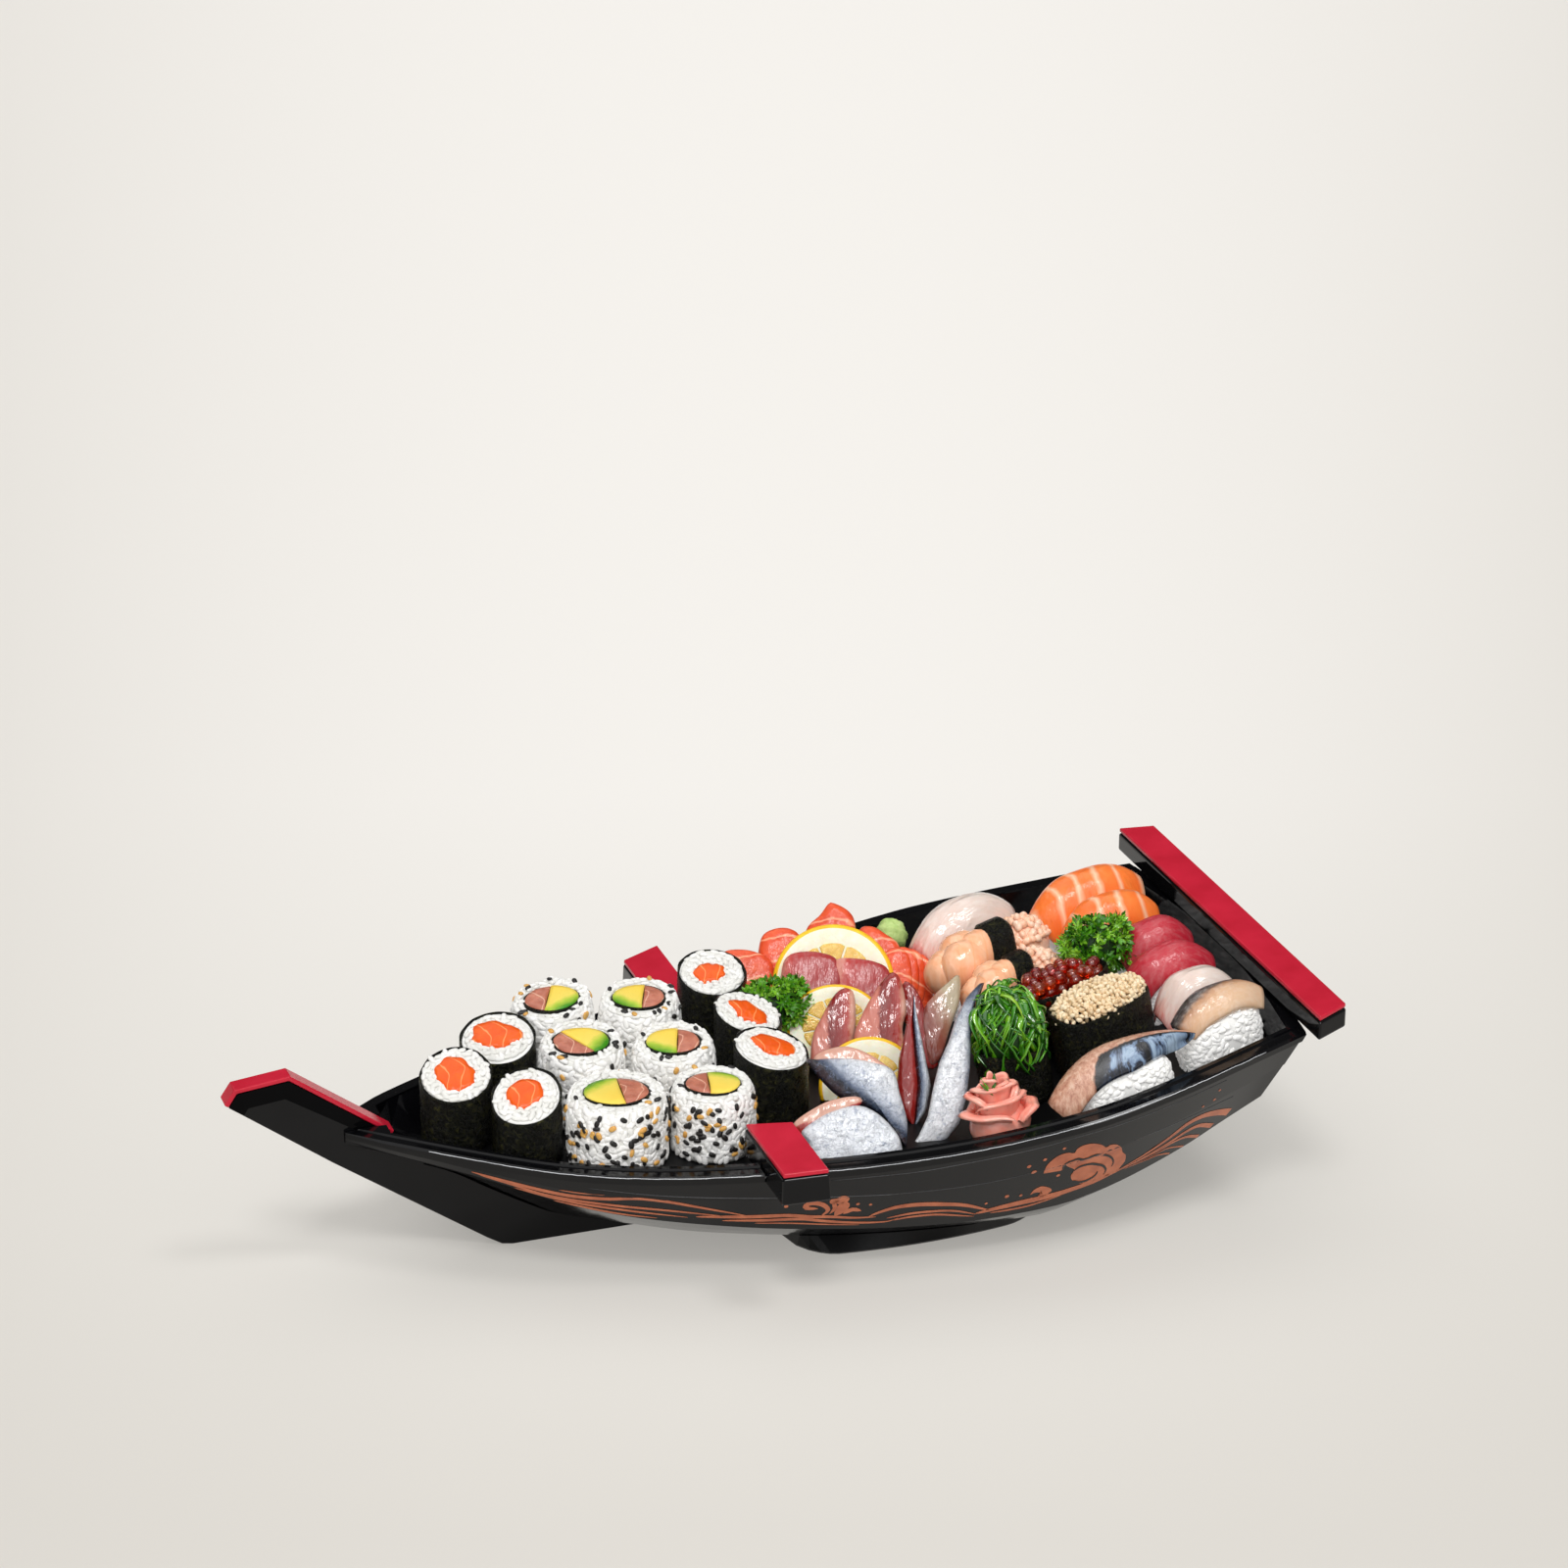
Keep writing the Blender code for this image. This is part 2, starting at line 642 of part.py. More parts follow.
def on_deck(name, shape, x, y, heading, colour, rough, lift=0.0, upright=False):
    """Stand a shape on the deck as its own solid."""
    points, start = placed(shape[0], x, y, heading, lift, upright)
    return add_solid(name, points, shape[1], colour, rough, start)


# Rolls standing on end: name, x, y, diameter, height, slant to the viewer in degrees, slant to the stern
ROLLS = [
    ("salmon_roll_1", -120.7, -1.0, 28.8, 27.0, 20.0, 0.0, NORI),
    ("salmon_roll_2", -98.0, 19.6, 30.6, 30.0, 16.0, 0.0, NORI),
    ("salmon_roll_3", -98.8, -23.0, 28.2, 25.0, 22.0, -4.0, NORI),
    ("salmon_roll_4", -1.5, 44.4, 28.2, 33.0, 16.0, 4.0, NORI),
    ("salmon_roll_5", 2.3, 9.7, 27.6, 30.0, 10.0, 14.0, NORI),
    ("salmon_roll_6", 1.8, -20.4, 30.0, 28.0, 8.0, 12.0, NORI),
    ("rice_roll_1", -70.5, 38.4, 34.6, 34.0, 8.0, -4.0, RICE),
    ("rice_roll_2", -36.3, 30.6, 34.0, 33.0, 6.0, 0.0, RICE),
    ("rice_roll_3", -68.7, 3.4, 35.0, 31.0, 8.0, 0.0, RICE),
    ("rice_roll_4", -33.3, -4.6, 34.0, 29.0, 6.0, 0.0, RICE),
    ("rice_roll_5", -66.0, -35.0, 40.4, 26.5, 2.0, 0.0, RICE),
    ("rice_roll_6", -28.4, -39.2, 34.0, 26.0, 2.0, 0.0, RICE),
]

# Nigiri: name, x, y, heading, length, width, height, colour
NIGIRI = [
    ("sea_bream_nigiri_1", 115.5, 57.5, 16.0, 51.0, 24.5, 35.5, WHITE_FISH),
    ("salmon_nigiri_1", 168.5, 52.5, 9.0, 53.0, 25.0, 33.5, SALMON),
    ("salmon_nigiri_2", 168.5, 27.0, 6.0, 44.0, 22.5, 33.7, SALMON),
    ("shrimp_nigiri_1", 117.0, 29.0, 11.0, 52.0, 22.5, 35.5, SHRIMP),
    ("shrimp_nigiri_2", 118.2, 6.5, 11.0, 42.0, 18.5, 31.0, SHRIMP),
    ("tuna_nigiri_1", 177.2, 2.4, 2.0, 33.5, 21.5, 30.0, TUNA),
    ("tuna_nigiri_2", 174.5, -20.4, 2.0, 38.0, 21.5, 29.5, TUNA),
    ("sea_bream_nigiri_2", 177.4, -43.4, 4.0, 29.0, 20.5, 28.5, WHITE_FISH),
]

# Gunkan: name, x, y, heading, length, width, height, squareness, colour, roughness
GUNKAN = [
    ("seaweed_gunkan", 96.4, -45.0, 0.0, 30.5, 30.5, 46.0, 2.4, SEAWEED, 0.35),
    ("salmon_roe_gunkan", 129.5, -14.0, 11.0, 45.0, 20.5, 32.5, 2.8, ROE, 0.2),
    ("crumb_gunkan", 136.4, -40.6, 12.0, 42.5, 26.0, 33.5, 2.8, CRUMB, 0.8),
]

# Garnish: name, x, y, length, width, height, rounding of the top, foot, lift, upright, colour
GARNISH = [
    ("ginger_rose", 77.5, -78.0, 31.0, 25.0, 31.0, 0.1, 0.45, 0.5, False, GINGER),
    ("wasabi_ball", 92.0, 79.5, 13.5, 13.5, 24.5, 0.3, 0.7, 0.0, False, WASABI),
    ("parsley_sprig_1", 16.8, 30.6, 17.0, 15.5, 34.0, 0.3, 0.35, 0.0, False, LEAF),
    ("parsley_sprig_2", 149.4, 2.4, 7.8, 9.5, 39.0, 0.3, 0.5, 0.5, True, LEAF),
]

# Rice beds that carry a separate fillet: name, x, y, heading, length, width, height
RICE_BEDS = [
    ("mackerel_rice_1", 174.5, -65.5, 11.0, 38.0, 20.0, 22.5),
    ("mackerel_rice_2", 127.5, -81.0, 2.0, 42.0, 21.0, 21.0),
]


def build_roll(name, x, y, diameter, height, slant, turn, colour):
    back = math.tan(math.radians(slant))
    side = math.tan(math.radians(turn))
    tilt = (back * math.sin(VIEW_TURN) - side * math.cos(VIEW_TURN),
            back * math.cos(VIEW_TURN) + side * math.sin(VIEW_TURN))
    shape = pillow(diameter, diameter, height, 2.0, 28, tilt, (0.0, 0.0), 0.97)
    on_deck(name, shape, x, y, 0.0, colour, 0.6)


def fillet(length, width, thick, bed, reach, droop, taper):
    """Fillet draped over a rice bed, thicker along its middle."""
    nu, nv = 12, 6
    top, low = [], []
    for i in range(nu + 1):
        u = -1 + 2 * i / nu
        half = width / 2 * (1 - 0.55 * max(0.0, u * taper) ** 2) * (1 - 0.35 * abs(u) ** 6)
        for j in range(nv + 1):
            v = -1 + 2 * j / nv
            x = u * length / 2 + reach
            y = v * half
            along = min(1.0, abs(x) / (bed[0] / 2))
            base = bed[2] * (1 - 0.06 * along ** 2 - 0.16 * (y / (bed[1] / 2)) ** 2) + 2 * GAP
            base -= droop * max(0.0, -x / (bed[0] / 2) - 1.03)
            low.append((x, y, base))
            top.append((x, y, base + thick * (1 - 0.45 * v * v) * (1 - 0.3 * u * u)))
    verts = top + low
    shift = len(top)
    faces = []
    for i in range(nu):
        for j in range(nv):
            a = i * (nv + 1) + j
            quad = (a, a + nv + 1, a + nv + 2, a + 1)
            faces.append(quad)
            faces.append(tuple(reversed([q + shift for q in quad])))
    edge = [j for j in range(nv + 1)]
    edge += [i * (nv + 1) + nv for i in range(1, nu + 1)]
    edge += [nu * (nv + 1) + j for j in range(nv - 1, -1, -1)]
    edge += [i * (nv + 1) for i in range(nu - 1, 0, -1)]
    for a, b in zip(edge, edge[1:] + edge[:1]):
        faces.append((a, b, b + shift, a + shift))
    return verts, faces


# Slices of the sashimi arrangement, leaning back on the deck:
# name, x and y of the middle, layer along the lean, length, width, thickness, turn, taper, colour
SLICES = [
    ("salmon_slice_1", 22.5, 58.0, -13.0, 36.0, 20.0, 4.4, 0.0, 0.0, SALMON),
    ("salmon_slice_2", 34.5, 60.0, -20.0, 44.0, 18.0, 4.4, 0.0, -0.1, SALMON),
    ("salmon_slice_3", 57.0, 66.0, -28.0, 50.0, 24.0, 4.4, 0.0, -0.15, SALMON),
    ("salmon_slice_4", 75.0, 58.0, -20.5, 40.0, 18.0, 4.4, 0.0, 0.0, SALMON),
    ("salmon_slice_5", 74.0, 34.0, -11.5, 38.0, 22.0, 4.4, 0.0, 0.0, SALMON),
    ("lemon_slice_1", 50.0, 42.0, -6.0, 50.0, 50.0, 4.0, 0.0, 0.0, LEMON),
    ("tuna_slice_1", 40.0, 38.0, 0.0, 40.0, 21.5, 4.6, 0.0, 0.0, TUNA),
    ("tuna_slice_2", 62.0, 30.0, 0.0, 38.0, 21.0, 4.6, 0.0, 0.0, TUNA),
    ("lemon_slice_2", 41.0, 14.0, 13.0, 35.0, 40.0, 4.0, 0.0, 0.0, LEMON),
    ("horse_mackerel_slice_1", 40.0, 8.0, 19.0, 37.0, 19.0, 4.2, 0.0, -0.2, RED_FISH),
    ("horse_mackerel_slice_2", 59.0, 0.0, 25.0, 46.0, 22.0, 4.2, 0.0, -0.2, RED_FISH),
    ("horse_mackerel_slice_3", 81.0, -7.0, 20.0, 42.0, 18.0, 4.2, 0.0, -0.2, RED_FISH),
    ("lemon_slice_3", 42.0, -20.0, 36.0, 29.0, 36.0, 4.0, 0.0, 0.0, LEMON),
    ("horse_mackerel_fillet_1", 55.0, -33.0, 50.0, 48.0, 12.0, 4.6, 0.0, -0.2, RED_FISH),
    ("horse_mackerel_fillet_2", 25.5, -50.0, 66.0, 33.0, 34.0, 4.6, 0.0, 0.0, SILVER_FISH),
    ("horse_mackerel_fillet_3", 60.5, -45.0, 62.0, 58.0, 13.0, 4.6, 16.0, -0.2, SILVER_FISH),
    ("horse_mackerel_fillet_4", 13.0, -76.0, 88.0, 27.0, 34.0, 4.6, 0.0, 0.0, SILVER_FISH),
]


def slice_frame():
    """Axes of the leaning slices: across, up the slope, and out of the face."""
    ca, sa = math.cos(VIEW_TURN), math.sin(VIEW_TURN)
    cl, sl = math.cos(SLICE_LEAN), math.sin(SLICE_LEAN)
    out = Vector((-cl * sa, -cl * ca, sl))
    up = Vector((sl * sa, sl * ca, cl))
    return up.cross(out), up, out


def build_slice(name, x, y, layer, length, width, thick, turn, taper, colour):
    across, up, out = slice_frame()
    z = deck_height(x) + GAP + up.z * length / 2 + abs(out.z) * thick / 2 + 0.2
    middle = Vector((x, y, z))
    level = Vector((-math.sin(VIEW_TURN), -math.cos(VIEW_TURN), 0.0))
    middle = middle + level * ((layer - middle.dot(out)) / level.dot(out))
    power = 2.0 if name.startswith("lemon") else 2.6
    cos_turn = math.cos(math.radians(turn))
    sin_turn = math.sin(math.radians(turn))
    verts = [tuple(middle + out * thick / 2)]
    count = 24
    rings = [(0.6, 0.5), (0.93, 0.42), (1.0, 0.0), (0.93, -0.42), (0.6, -0.5)]
    for scale, depth in rings:
        for v, u, cv, cu in ring(length, width, power, count, scale, taper):
            a = u * cos_turn + v * sin_turn
            b = v * cos_turn - u * sin_turn
            verts.append(tuple(middle + across * a + up * b + out * (depth * thick)))
    verts.append(tuple(middle - out * thick / 2))
    drop = min(v[2] - deck_height(v[0]) for v in verts) - GAP
    verts = [(v[0], v[1], v[2] - drop) for v in verts]
    faces = []
    for j in range(count):
        k = (j + 1) % count
        faces.append((0, 1 + j, 1 + k))
        for r in range(len(rings) - 1):
            a = 1 + r * count
            faces.append((a + j, a + count + j, a + count + k, a + k))
        a = 1 + (len(rings) - 1) * count
        faces.append((a + j, len(verts) - 1, a + k))
    rough = 0.35 if colour != LEMON else 0.45
    add_solid(name, verts, faces, colour, rough, tuple(middle))


def build_sushi():
    for row in ROLLS:
        build_roll(*row)
    for name, x, y, heading, length, width, height, colour in NIGIRI:
        on_deck(name, pillow(length, width, height, 3.0), x, y, heading, colour, 0.35)
    for name, x, y, heading, length, width, height in RICE_BEDS:
        on_deck(name, pillow(length, width, height, 3.0), x, y, heading, RICE, 0.6)
    rows = dict((row[0], row) for row in RICE_BEDS)
    _, x, y, heading, length, width, height = rows["mackerel_rice_1"]
    on_deck("seared_mackerel_fillet", fillet(40.0, 17.0, 7.0, (length, width, height), 1.2, 0.0, 0.0),
            x, y, heading, SEARED_FISH, 0.35)
    _, x, y, heading, length, width, height = rows["mackerel_rice_2"]
    on_deck("cured_mackerel_fillet", fillet(60.0, 17.0, 7.0, (length, width, height), 0.5, 30.0, 0.8),
            x, y, heading, SILVER_FISH, 0.3)
    for name, x, y, heading, length, width, height, power, colour, rough in GUNKAN:
        on_deck(name, pillow(length, width, height, power), x, y, heading, colour, rough)
    for name, x, y, length, width, height, crown, foot, lift, upright, colour in GARNISH:
        shape = pillow(length, width, height, 2.1, 20, crown=(crown, crown), foot=foot)
        on_deck(name, shape, x, y, 0.0, colour, 0.55, lift, upright)
    for row in SLICES:
        build_slice(*row)


def build_boat():
    hull = build_hull()
    rooms = [build_hollow(), stem_slot(), block_room(-1), block_room(1)]
    cut_away(hull, rooms)
    build_foot()
    build_deck()
    build_stem()
    build_block(-1, "port")
    build_block(1, "starboard")
    build_stern_bar()


build_boat()
build_sushi()
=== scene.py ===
"""Studio picture of the loaded sushi boat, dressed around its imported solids."""

import math

import bmesh
import bpy
import numpy as np
from mathutils import Matrix, Vector
from mathutils.bvhtree import BVHTree


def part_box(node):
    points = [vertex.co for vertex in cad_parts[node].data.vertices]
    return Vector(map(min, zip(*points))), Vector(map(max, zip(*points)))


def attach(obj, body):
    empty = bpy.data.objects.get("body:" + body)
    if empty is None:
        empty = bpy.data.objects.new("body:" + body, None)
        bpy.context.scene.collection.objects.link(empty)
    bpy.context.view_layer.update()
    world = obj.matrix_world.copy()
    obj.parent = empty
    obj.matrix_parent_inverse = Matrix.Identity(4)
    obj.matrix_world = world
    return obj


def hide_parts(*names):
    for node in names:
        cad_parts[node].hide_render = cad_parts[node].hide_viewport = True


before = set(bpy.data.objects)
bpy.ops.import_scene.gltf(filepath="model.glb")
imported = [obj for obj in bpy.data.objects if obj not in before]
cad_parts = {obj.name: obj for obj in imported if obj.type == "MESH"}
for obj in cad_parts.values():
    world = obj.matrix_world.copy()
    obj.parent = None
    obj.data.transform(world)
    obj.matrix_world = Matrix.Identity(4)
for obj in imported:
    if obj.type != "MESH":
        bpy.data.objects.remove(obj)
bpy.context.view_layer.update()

MM = 0.001
RNG = np.random.default_rng(11)
# Range of a random phase, about a full turn
PHASE = 6.28

# Deck of the boat and the lean of the sashimi, in millimetres and radians
DECK_TOP = 48.0
RAMP_START = 69.5
RAMP_SLOPE = 0.18
CENTRE_SHIFT = 0.75
SEAT = 0.3
VIEW_TURN = math.radians(19.0)
SLICE_LEAN = math.radians(35.0)

# Camera of the photograph, with the image taken as 1600 by 1600
CAMERA_PLACE = (-0.50825, -1.515, 0.8399)
CAMERA_TURN = VIEW_TURN
CAMERA_DIP = math.radians(22.42)
FOCAL_PIXELS = 4558.5
IMAGE_PIXELS = 1600.0
SENSOR = 36.0


def srgb(red, green, blue):
    """Colour written as 0 to 255 screen values, as linear light."""
    def linear(value):
        share = value / 255.0
        return share / 12.92 if share <= 0.04045 else ((share + 0.055) / 1.055) ** 2.4
    return (linear(red), linear(green), linear(blue), 1.0)


def light(colour):
    """Linear light of a colour given by three screen values; anything else stays as it is."""
    return srgb(*colour) if isinstance(colour, tuple) and len(colour) == 3 else colour


SOCKETS = {
    "base": "Base Color", "rough": "Roughness", "metal": "Metallic", "specular": "Specular IOR Level",
    "coat": "Coat Weight", "coat_rough": "Coat Roughness", "soft": "Subsurface Weight",
    "soft_scale": "Subsurface Scale", "glow": "Subsurface Radius", "clear": "Transmission Weight",
    "ior": "IOR", "lit": "Emission Strength",
}


class Finish:
    """A procedural material while its nodes are put together."""

    def __init__(self, name, **values):
        self.material = bpy.data.materials.new(name)
        self.material.use_nodes = True
        self.tree = self.material.node_tree
        self.shader = self.tree.nodes["Principled BSDF"]
        for key, value in values.items():
            self.feed(self.shader, SOCKETS[key], value)

    def feed(self, node, key, value):
        if isinstance(value, bpy.types.NodeSocket):
            self.tree.links.new(value, node.inputs[key])
        else:
            node.inputs[key].default_value = value

    def add(self, kind, settings=None, **inputs):
        node = self.tree.nodes.new("ShaderNode" + kind)
        for key, value in (settings or {}).items():
            setattr(node, key, value)
        for key, value in inputs.items():
            self.feed(node, key.replace("_", " "), value)
        return node

    def math(self, operation, first, second=0.0, third=0.0):
        node = self.tree.nodes.new("ShaderNodeMath")
        node.operation = operation
        for index, value in enumerate((first, second, third)):
            self.feed(node, index, value)
        return node.outputs[0]

    def place(self):
        return self.add("TexCoord").outputs["Object"]

    def flow(self):
        """Place along, across and the tint of a piece, as three sockets and as a vector."""
        vector = self.add("Attribute", {"attribute_name": "flow"}).outputs["Vector"]
        parts = self.add("SeparateXYZ", Vector=vector).outputs
        return parts[0], parts[1], parts[2], vector

    def noise(self, scale, detail=3.0, rough=0.55, vector=None, distortion=0.0):
        vector = vector or self.place()
        node = self.add("TexNoise", Vector=vector, Scale=scale, Detail=detail, Roughness=rough,
                        Distortion=distortion)
        return node.outputs["Fac"]

    def cells(self, scale, feature="F1", vector=None):
        node = self.add("TexVoronoi", {"feature": feature}, Vector=vector or self.place(), Scale=scale)
        return node.outputs["Distance"]

    def island(self):
        return self.add("NewGeometry").outputs["Random Per Island"]

    def ramp(self, share, stops):
        node = self.add("ValToRGB", Fac=share)
        band = node.color_ramp
        while len(band.elements) < len(stops):
            band.elements.new(0.5)
        for element, (at, colour) in zip(band.elements, stops):
            element.position = at
            element.color = light(colour)
        return node.outputs["Color"]

    def grey(self, share, stops):
        return self.ramp(share, [(at, (v, v, v, 1.0)) for at, v in stops])

    def mix(self, share, first, second, blend="MIX"):
        node = self.add("Mix", {"data_type": "RGBA", "blend_type": blend})
        for key, value in ((0, share), (6, light(first)), (7, light(second))):
            self.feed(node, key, value)
        return node.outputs[2]

    def set(self, **values):
        for key, value in values.items():
            self.feed(self.shader, SOCKETS[key], value)
        return self

    def bump(self, height, depth, strength=1.0):
        """Fine relief of a depth in millimetres."""
        node = self.add("Bump", Height=height, Strength=strength, Distance=depth * MM)
        for key in ("Normal", "Coat Normal"):
            self.feed(self.shader, key, node.outputs["Normal"])
        return self

    def lit_back(self, colour, share):
        """Show a share of the surface at its plain colour, to the camera and in reflections."""
        rays = self.add("LightPath").outputs
        seen = self.math("MAXIMUM", rays["Is Glossy Ray"], rays["Is Transmission Ray"])
        seen = self.math("MAXIMUM", rays["Is Camera Ray"], seen)
        plain = self.add("Emission", Color=colour, Strength=1.0).outputs["Emission"]
        both = self.add("MixShader")
        shown = self.math("MULTIPLY", seen, share)
        for key, value in ((0, shown), (1, self.shader.outputs["BSDF"]), (2, plain)):
            self.feed(both, key, value)
        self.feed(self.tree.nodes["Material Output"], "Surface", both.outputs["Shader"])


def lacquer(name, dark, pale, rough_low, rough_high, specular):
    """Glossy moulded finish with faint clouding and fine wear."""
    f = Finish(name, specular=specular)
    cloud = f.noise(55.0, 4.0)
    wear = f.noise(700.0, 5.0, 0.7)
    f.set(base=f.ramp(cloud, [(0.3, dark), (0.75, pale)]))
    f.set(rough=f.grey(wear, [(0.3, rough_low), (0.8, rough_high)]))
    return f.bump(f.noise(1400.0, 2.0), 0.006, 0.35).material


def rice_finish(name, low, high, soft, lit):
    """Cooked rice. A little light of its own is painted light that lifts the shade on packed grains, standing
    in for light that passes through them.
    """
    f = Finish(name, soft=soft, soft_scale=0.0012, glow=(1.0, 0.97, 0.94), rough=0.5, specular=0.22, lit=lit)
    f.set(base=f.ramp(f.island(), [(0.0, low), (1.0, high)]))
    return f.bump(f.noise(1300.0, 3.0), 0.02, 0.25).material


def nori_finish():
    f = Finish("toasted_seaweed", specular=0.2)
    flakes = f.noise(520.0, 8.0, 0.72, distortion=0.8)
    fleck = f.ramp(flakes, [(0.4, (3, 4, 2)), (0.52, (15, 16, 7)), (0.6, (50, 49, 20)),
                            (0.74, (112, 108, 60))])
    patch = f.noise(110.0, 3.0, 0.6)
    f.set(base=f.mix(f.grey(patch, [(0.42, 0.0), (0.62, 0.75)]), fleck, (7, 7, 5)))
    f.set(rough=f.grey(flakes, [(0.35, 0.18), (0.7, 0.45)]))
    return f.bump(flakes, 1.3, 1.0).material


def fish_finish(name, pale, deep, line, spacing, bend, line_from, rough=0.3, soft=0.3, fine=0.35, wet=0.25):
    """Moist raw fish with curved lines of fat across it."""
    f = Finish(name, soft=soft, soft_scale=0.0025, rough=rough, specular=0.4, coat=wet, coat_rough=0.08)
    along, across, _, vector = f.flow()
    wobble = f.math("MULTIPLY", f.math("SUBTRACT", f.noise(0.09, 2.0, vector=vector), 0.5), 7.0)
    arc = f.math("MULTIPLY", f.math("MULTIPLY", across, across), bend)
    place = f.math("ADD", f.math("ADD", along, arc), wobble)
    wave = f.math("PINGPONG", f.math("DIVIDE", place, spacing), 0.5)
    stripe = f.grey(f.math("MULTIPLY", wave, 2.0), [(line_from, 0.0), (1.0, 1.0)])
    cloud = f.noise(0.16, 5.0, 0.6, vector)
    body = f.ramp(cloud, [(0.3, deep), (0.7, pale)])
    grain = f.math("MULTIPLY", f.noise(1.6, 3.0, vector=vector), fine)
    body = f.mix(grain, body, line)
    f.set(base=f.mix(stripe, body, line))
    return f.bump(f.noise(0.32, 3.0, 0.5, vector=vector), 0.7, 0.8).material


def zone_finish(name, stops, rough=0.3, soft=0.25, fine=1.4, relief=0.8, pale=0.18, streak=1.0, wet=0.3):
    """Moist piece whose colour runs along its tint, with a fine pale grain drawn out along its length."""
    f = Finish(name, soft=soft, soft_scale=0.002, rough=rough, specular=0.5, coat=wet, coat_rough=0.06)
    _, _, tint, vector = f.flow()
    drawn = f.add("VectorMath", {"operation": "MULTIPLY"})
    f.feed(drawn, 0, vector)
    drawn.inputs[1].default_value = (streak, 1.0, 1.0)
    cloud = f.math("MULTIPLY", f.math("SUBTRACT", f.noise(0.22, 5.0, 0.65, vector), 0.5), 0.32)
    colour = f.ramp(f.math("ADD", tint, cloud), stops)
    grain = f.noise(fine, 5.0, 0.7, drawn.outputs["Vector"])
    f.set(base=f.mix(f.grey(grain, [(0.45, 0.0), (0.75, pale)]), colour, (0.9, 0.86, 0.82, 1.0)))
    return f.bump(f.noise(0.36, 3.0, 0.5, drawn.outputs["Vector"]), relief, 0.8).material


def silver_finish():
    """Bright fish skin, finely lined, dark towards the back of the fish."""
    f = Finish("silver_skin", specular=0.6, coat=0.6, coat_rough=0.05, metal=0.3)
    _, _, tint, vector = f.flow()
    cloud = f.math("MULTIPLY", f.math("SUBTRACT", f.noise(0.16, 5.0, 0.7, vector), 0.5), 0.24)
    colour = f.ramp(f.math("ADD", tint, cloud), [
        (0.05, (72, 42, 44)), (0.15, (22, 26, 40)), (0.26, (70, 84, 110)), (0.42, (176, 184, 198)),
        (0.7, (220, 224, 231)), (0.98, (240, 242, 245))])
    warp = f.add("VectorMath", {"operation": "MULTIPLY_ADD"})
    f.feed(warp, 0, f.add("TexNoise", Vector=vector, Scale=0.35, Detail=6.0, Roughness=0.7).outputs["Color"])
    warp.inputs[1].default_value = (7.0, 7.0, 5.0)
    f.feed(warp, 2, vector)
    bent = warp.outputs["Vector"]
    crack = f.cells(0.24, "DISTANCE_TO_EDGE", bent)
    streak = f.noise(0.5, 5.0, 0.65, bent)
    colour = f.mix(f.grey(streak, [(0.54, 0.0), (0.68, 0.75)]), colour, (96, 112, 142))
    f.set(base=f.mix(f.grey(crack, [(0.0, 0.6), (0.03, 0.0)]), colour, (60, 70, 94)))
    f.set(rough=f.grey(streak, [(0.3, 0.12), (0.7, 0.3)]))
    return f.bump(f.noise(0.3, 3.0, 0.5, bent), 1.0, 1.0).material


def cured_finish():
    """Cured mackerel: tan flesh, then a dark line and the patterned blue skin."""
    f = Finish("cured_mackerel", specular=0.5, coat=0.6, coat_rough=0.05)
    _, _, tint, vector = f.flow()
    patch = f.noise(0.13, 4.0, 0.6, vector, 0.8)
    skin = f.ramp(patch, [(0.42, (8, 9, 13)), (0.49, (34, 44, 62)), (0.54, (112, 134, 164)),
                          (0.62, (160, 182, 204)), (0.72, (58, 76, 104))])
    grain = f.noise(0.5, 5.0, 0.7, vector)
    flesh = f.ramp(grain, [(0.35, (176, 118, 94)), (0.5, (206, 154, 128)), (0.68, (226, 190, 166))])
    edge = f.math("ADD", tint, f.math("MULTIPLY", f.math("SUBTRACT", grain, 0.5), 0.12))
    f.set(base=f.mix(f.grey(edge, [(0.41, 0.0), (0.44, 1.0)]), flesh, f.mix(
        f.grey(edge, [(0.46, 1.0), (0.52, 0.0)]), skin, (12, 11, 14))))
    f.set(rough=f.grey(patch, [(0.3, 0.3), (0.6, 0.14)]))
    return f.bump(grain, 0.6, 0.8).material


def plain_food(name, stops, scale, rough, soft=0.2, depth=0.3, coat=0.0, by_island=False, soft_scale=0.002):
    """Food of one kind with clouded colour."""
    f = Finish(name, soft=soft, soft_scale=soft_scale, rough=rough, coat=coat, coat_rough=0.08)
    cloud = f.noise(scale, 5.0, 0.6)
    if by_island:
        cloud = f.math("ADD", f.math("MULTIPLY", cloud, 0.4), f.math("MULTIPLY", f.island(), 0.6))
    f.set(base=f.ramp(cloud, stops))
    return f.bump(f.noise(scale * 4.0, 4.0), depth, 0.6).material


def avocado_finish():
    f = Finish("avocado", soft=0.05, soft_scale=0.002, rough=0.36, specular=0.35)
    _, _, tint, vector = f.flow()
    cloud = f.math("MULTIPLY", f.math("SUBTRACT", f.noise(0.3, 4.0, vector=vector), 0.5), 0.16)
    f.set(base=f.ramp(f.math("ADD", tint, cloud), [
        (0.3, (250, 214, 84)), (0.7, (240, 216, 96)), (0.84, (170, 198, 54)), (1.0, (58, 138, 12))]))
    return f.bump(f.noise(1.0, 4.0, vector=vector), 0.35, 0.6).material


def roe_finish():
    f = Finish("salmon_roe", rough=0.04, ior=1.42, clear=0.85, coat=1.0, coat_rough=0.01, specular=0.7)
    f.set(base=f.ramp(f.island(), [(0.0, (206, 30, 6)), (0.5, (228, 54, 14)), (1.0, (244, 96, 34))]))
    return f.bump(f.noise(500.0, 2.0), 0.01, 0.2).material


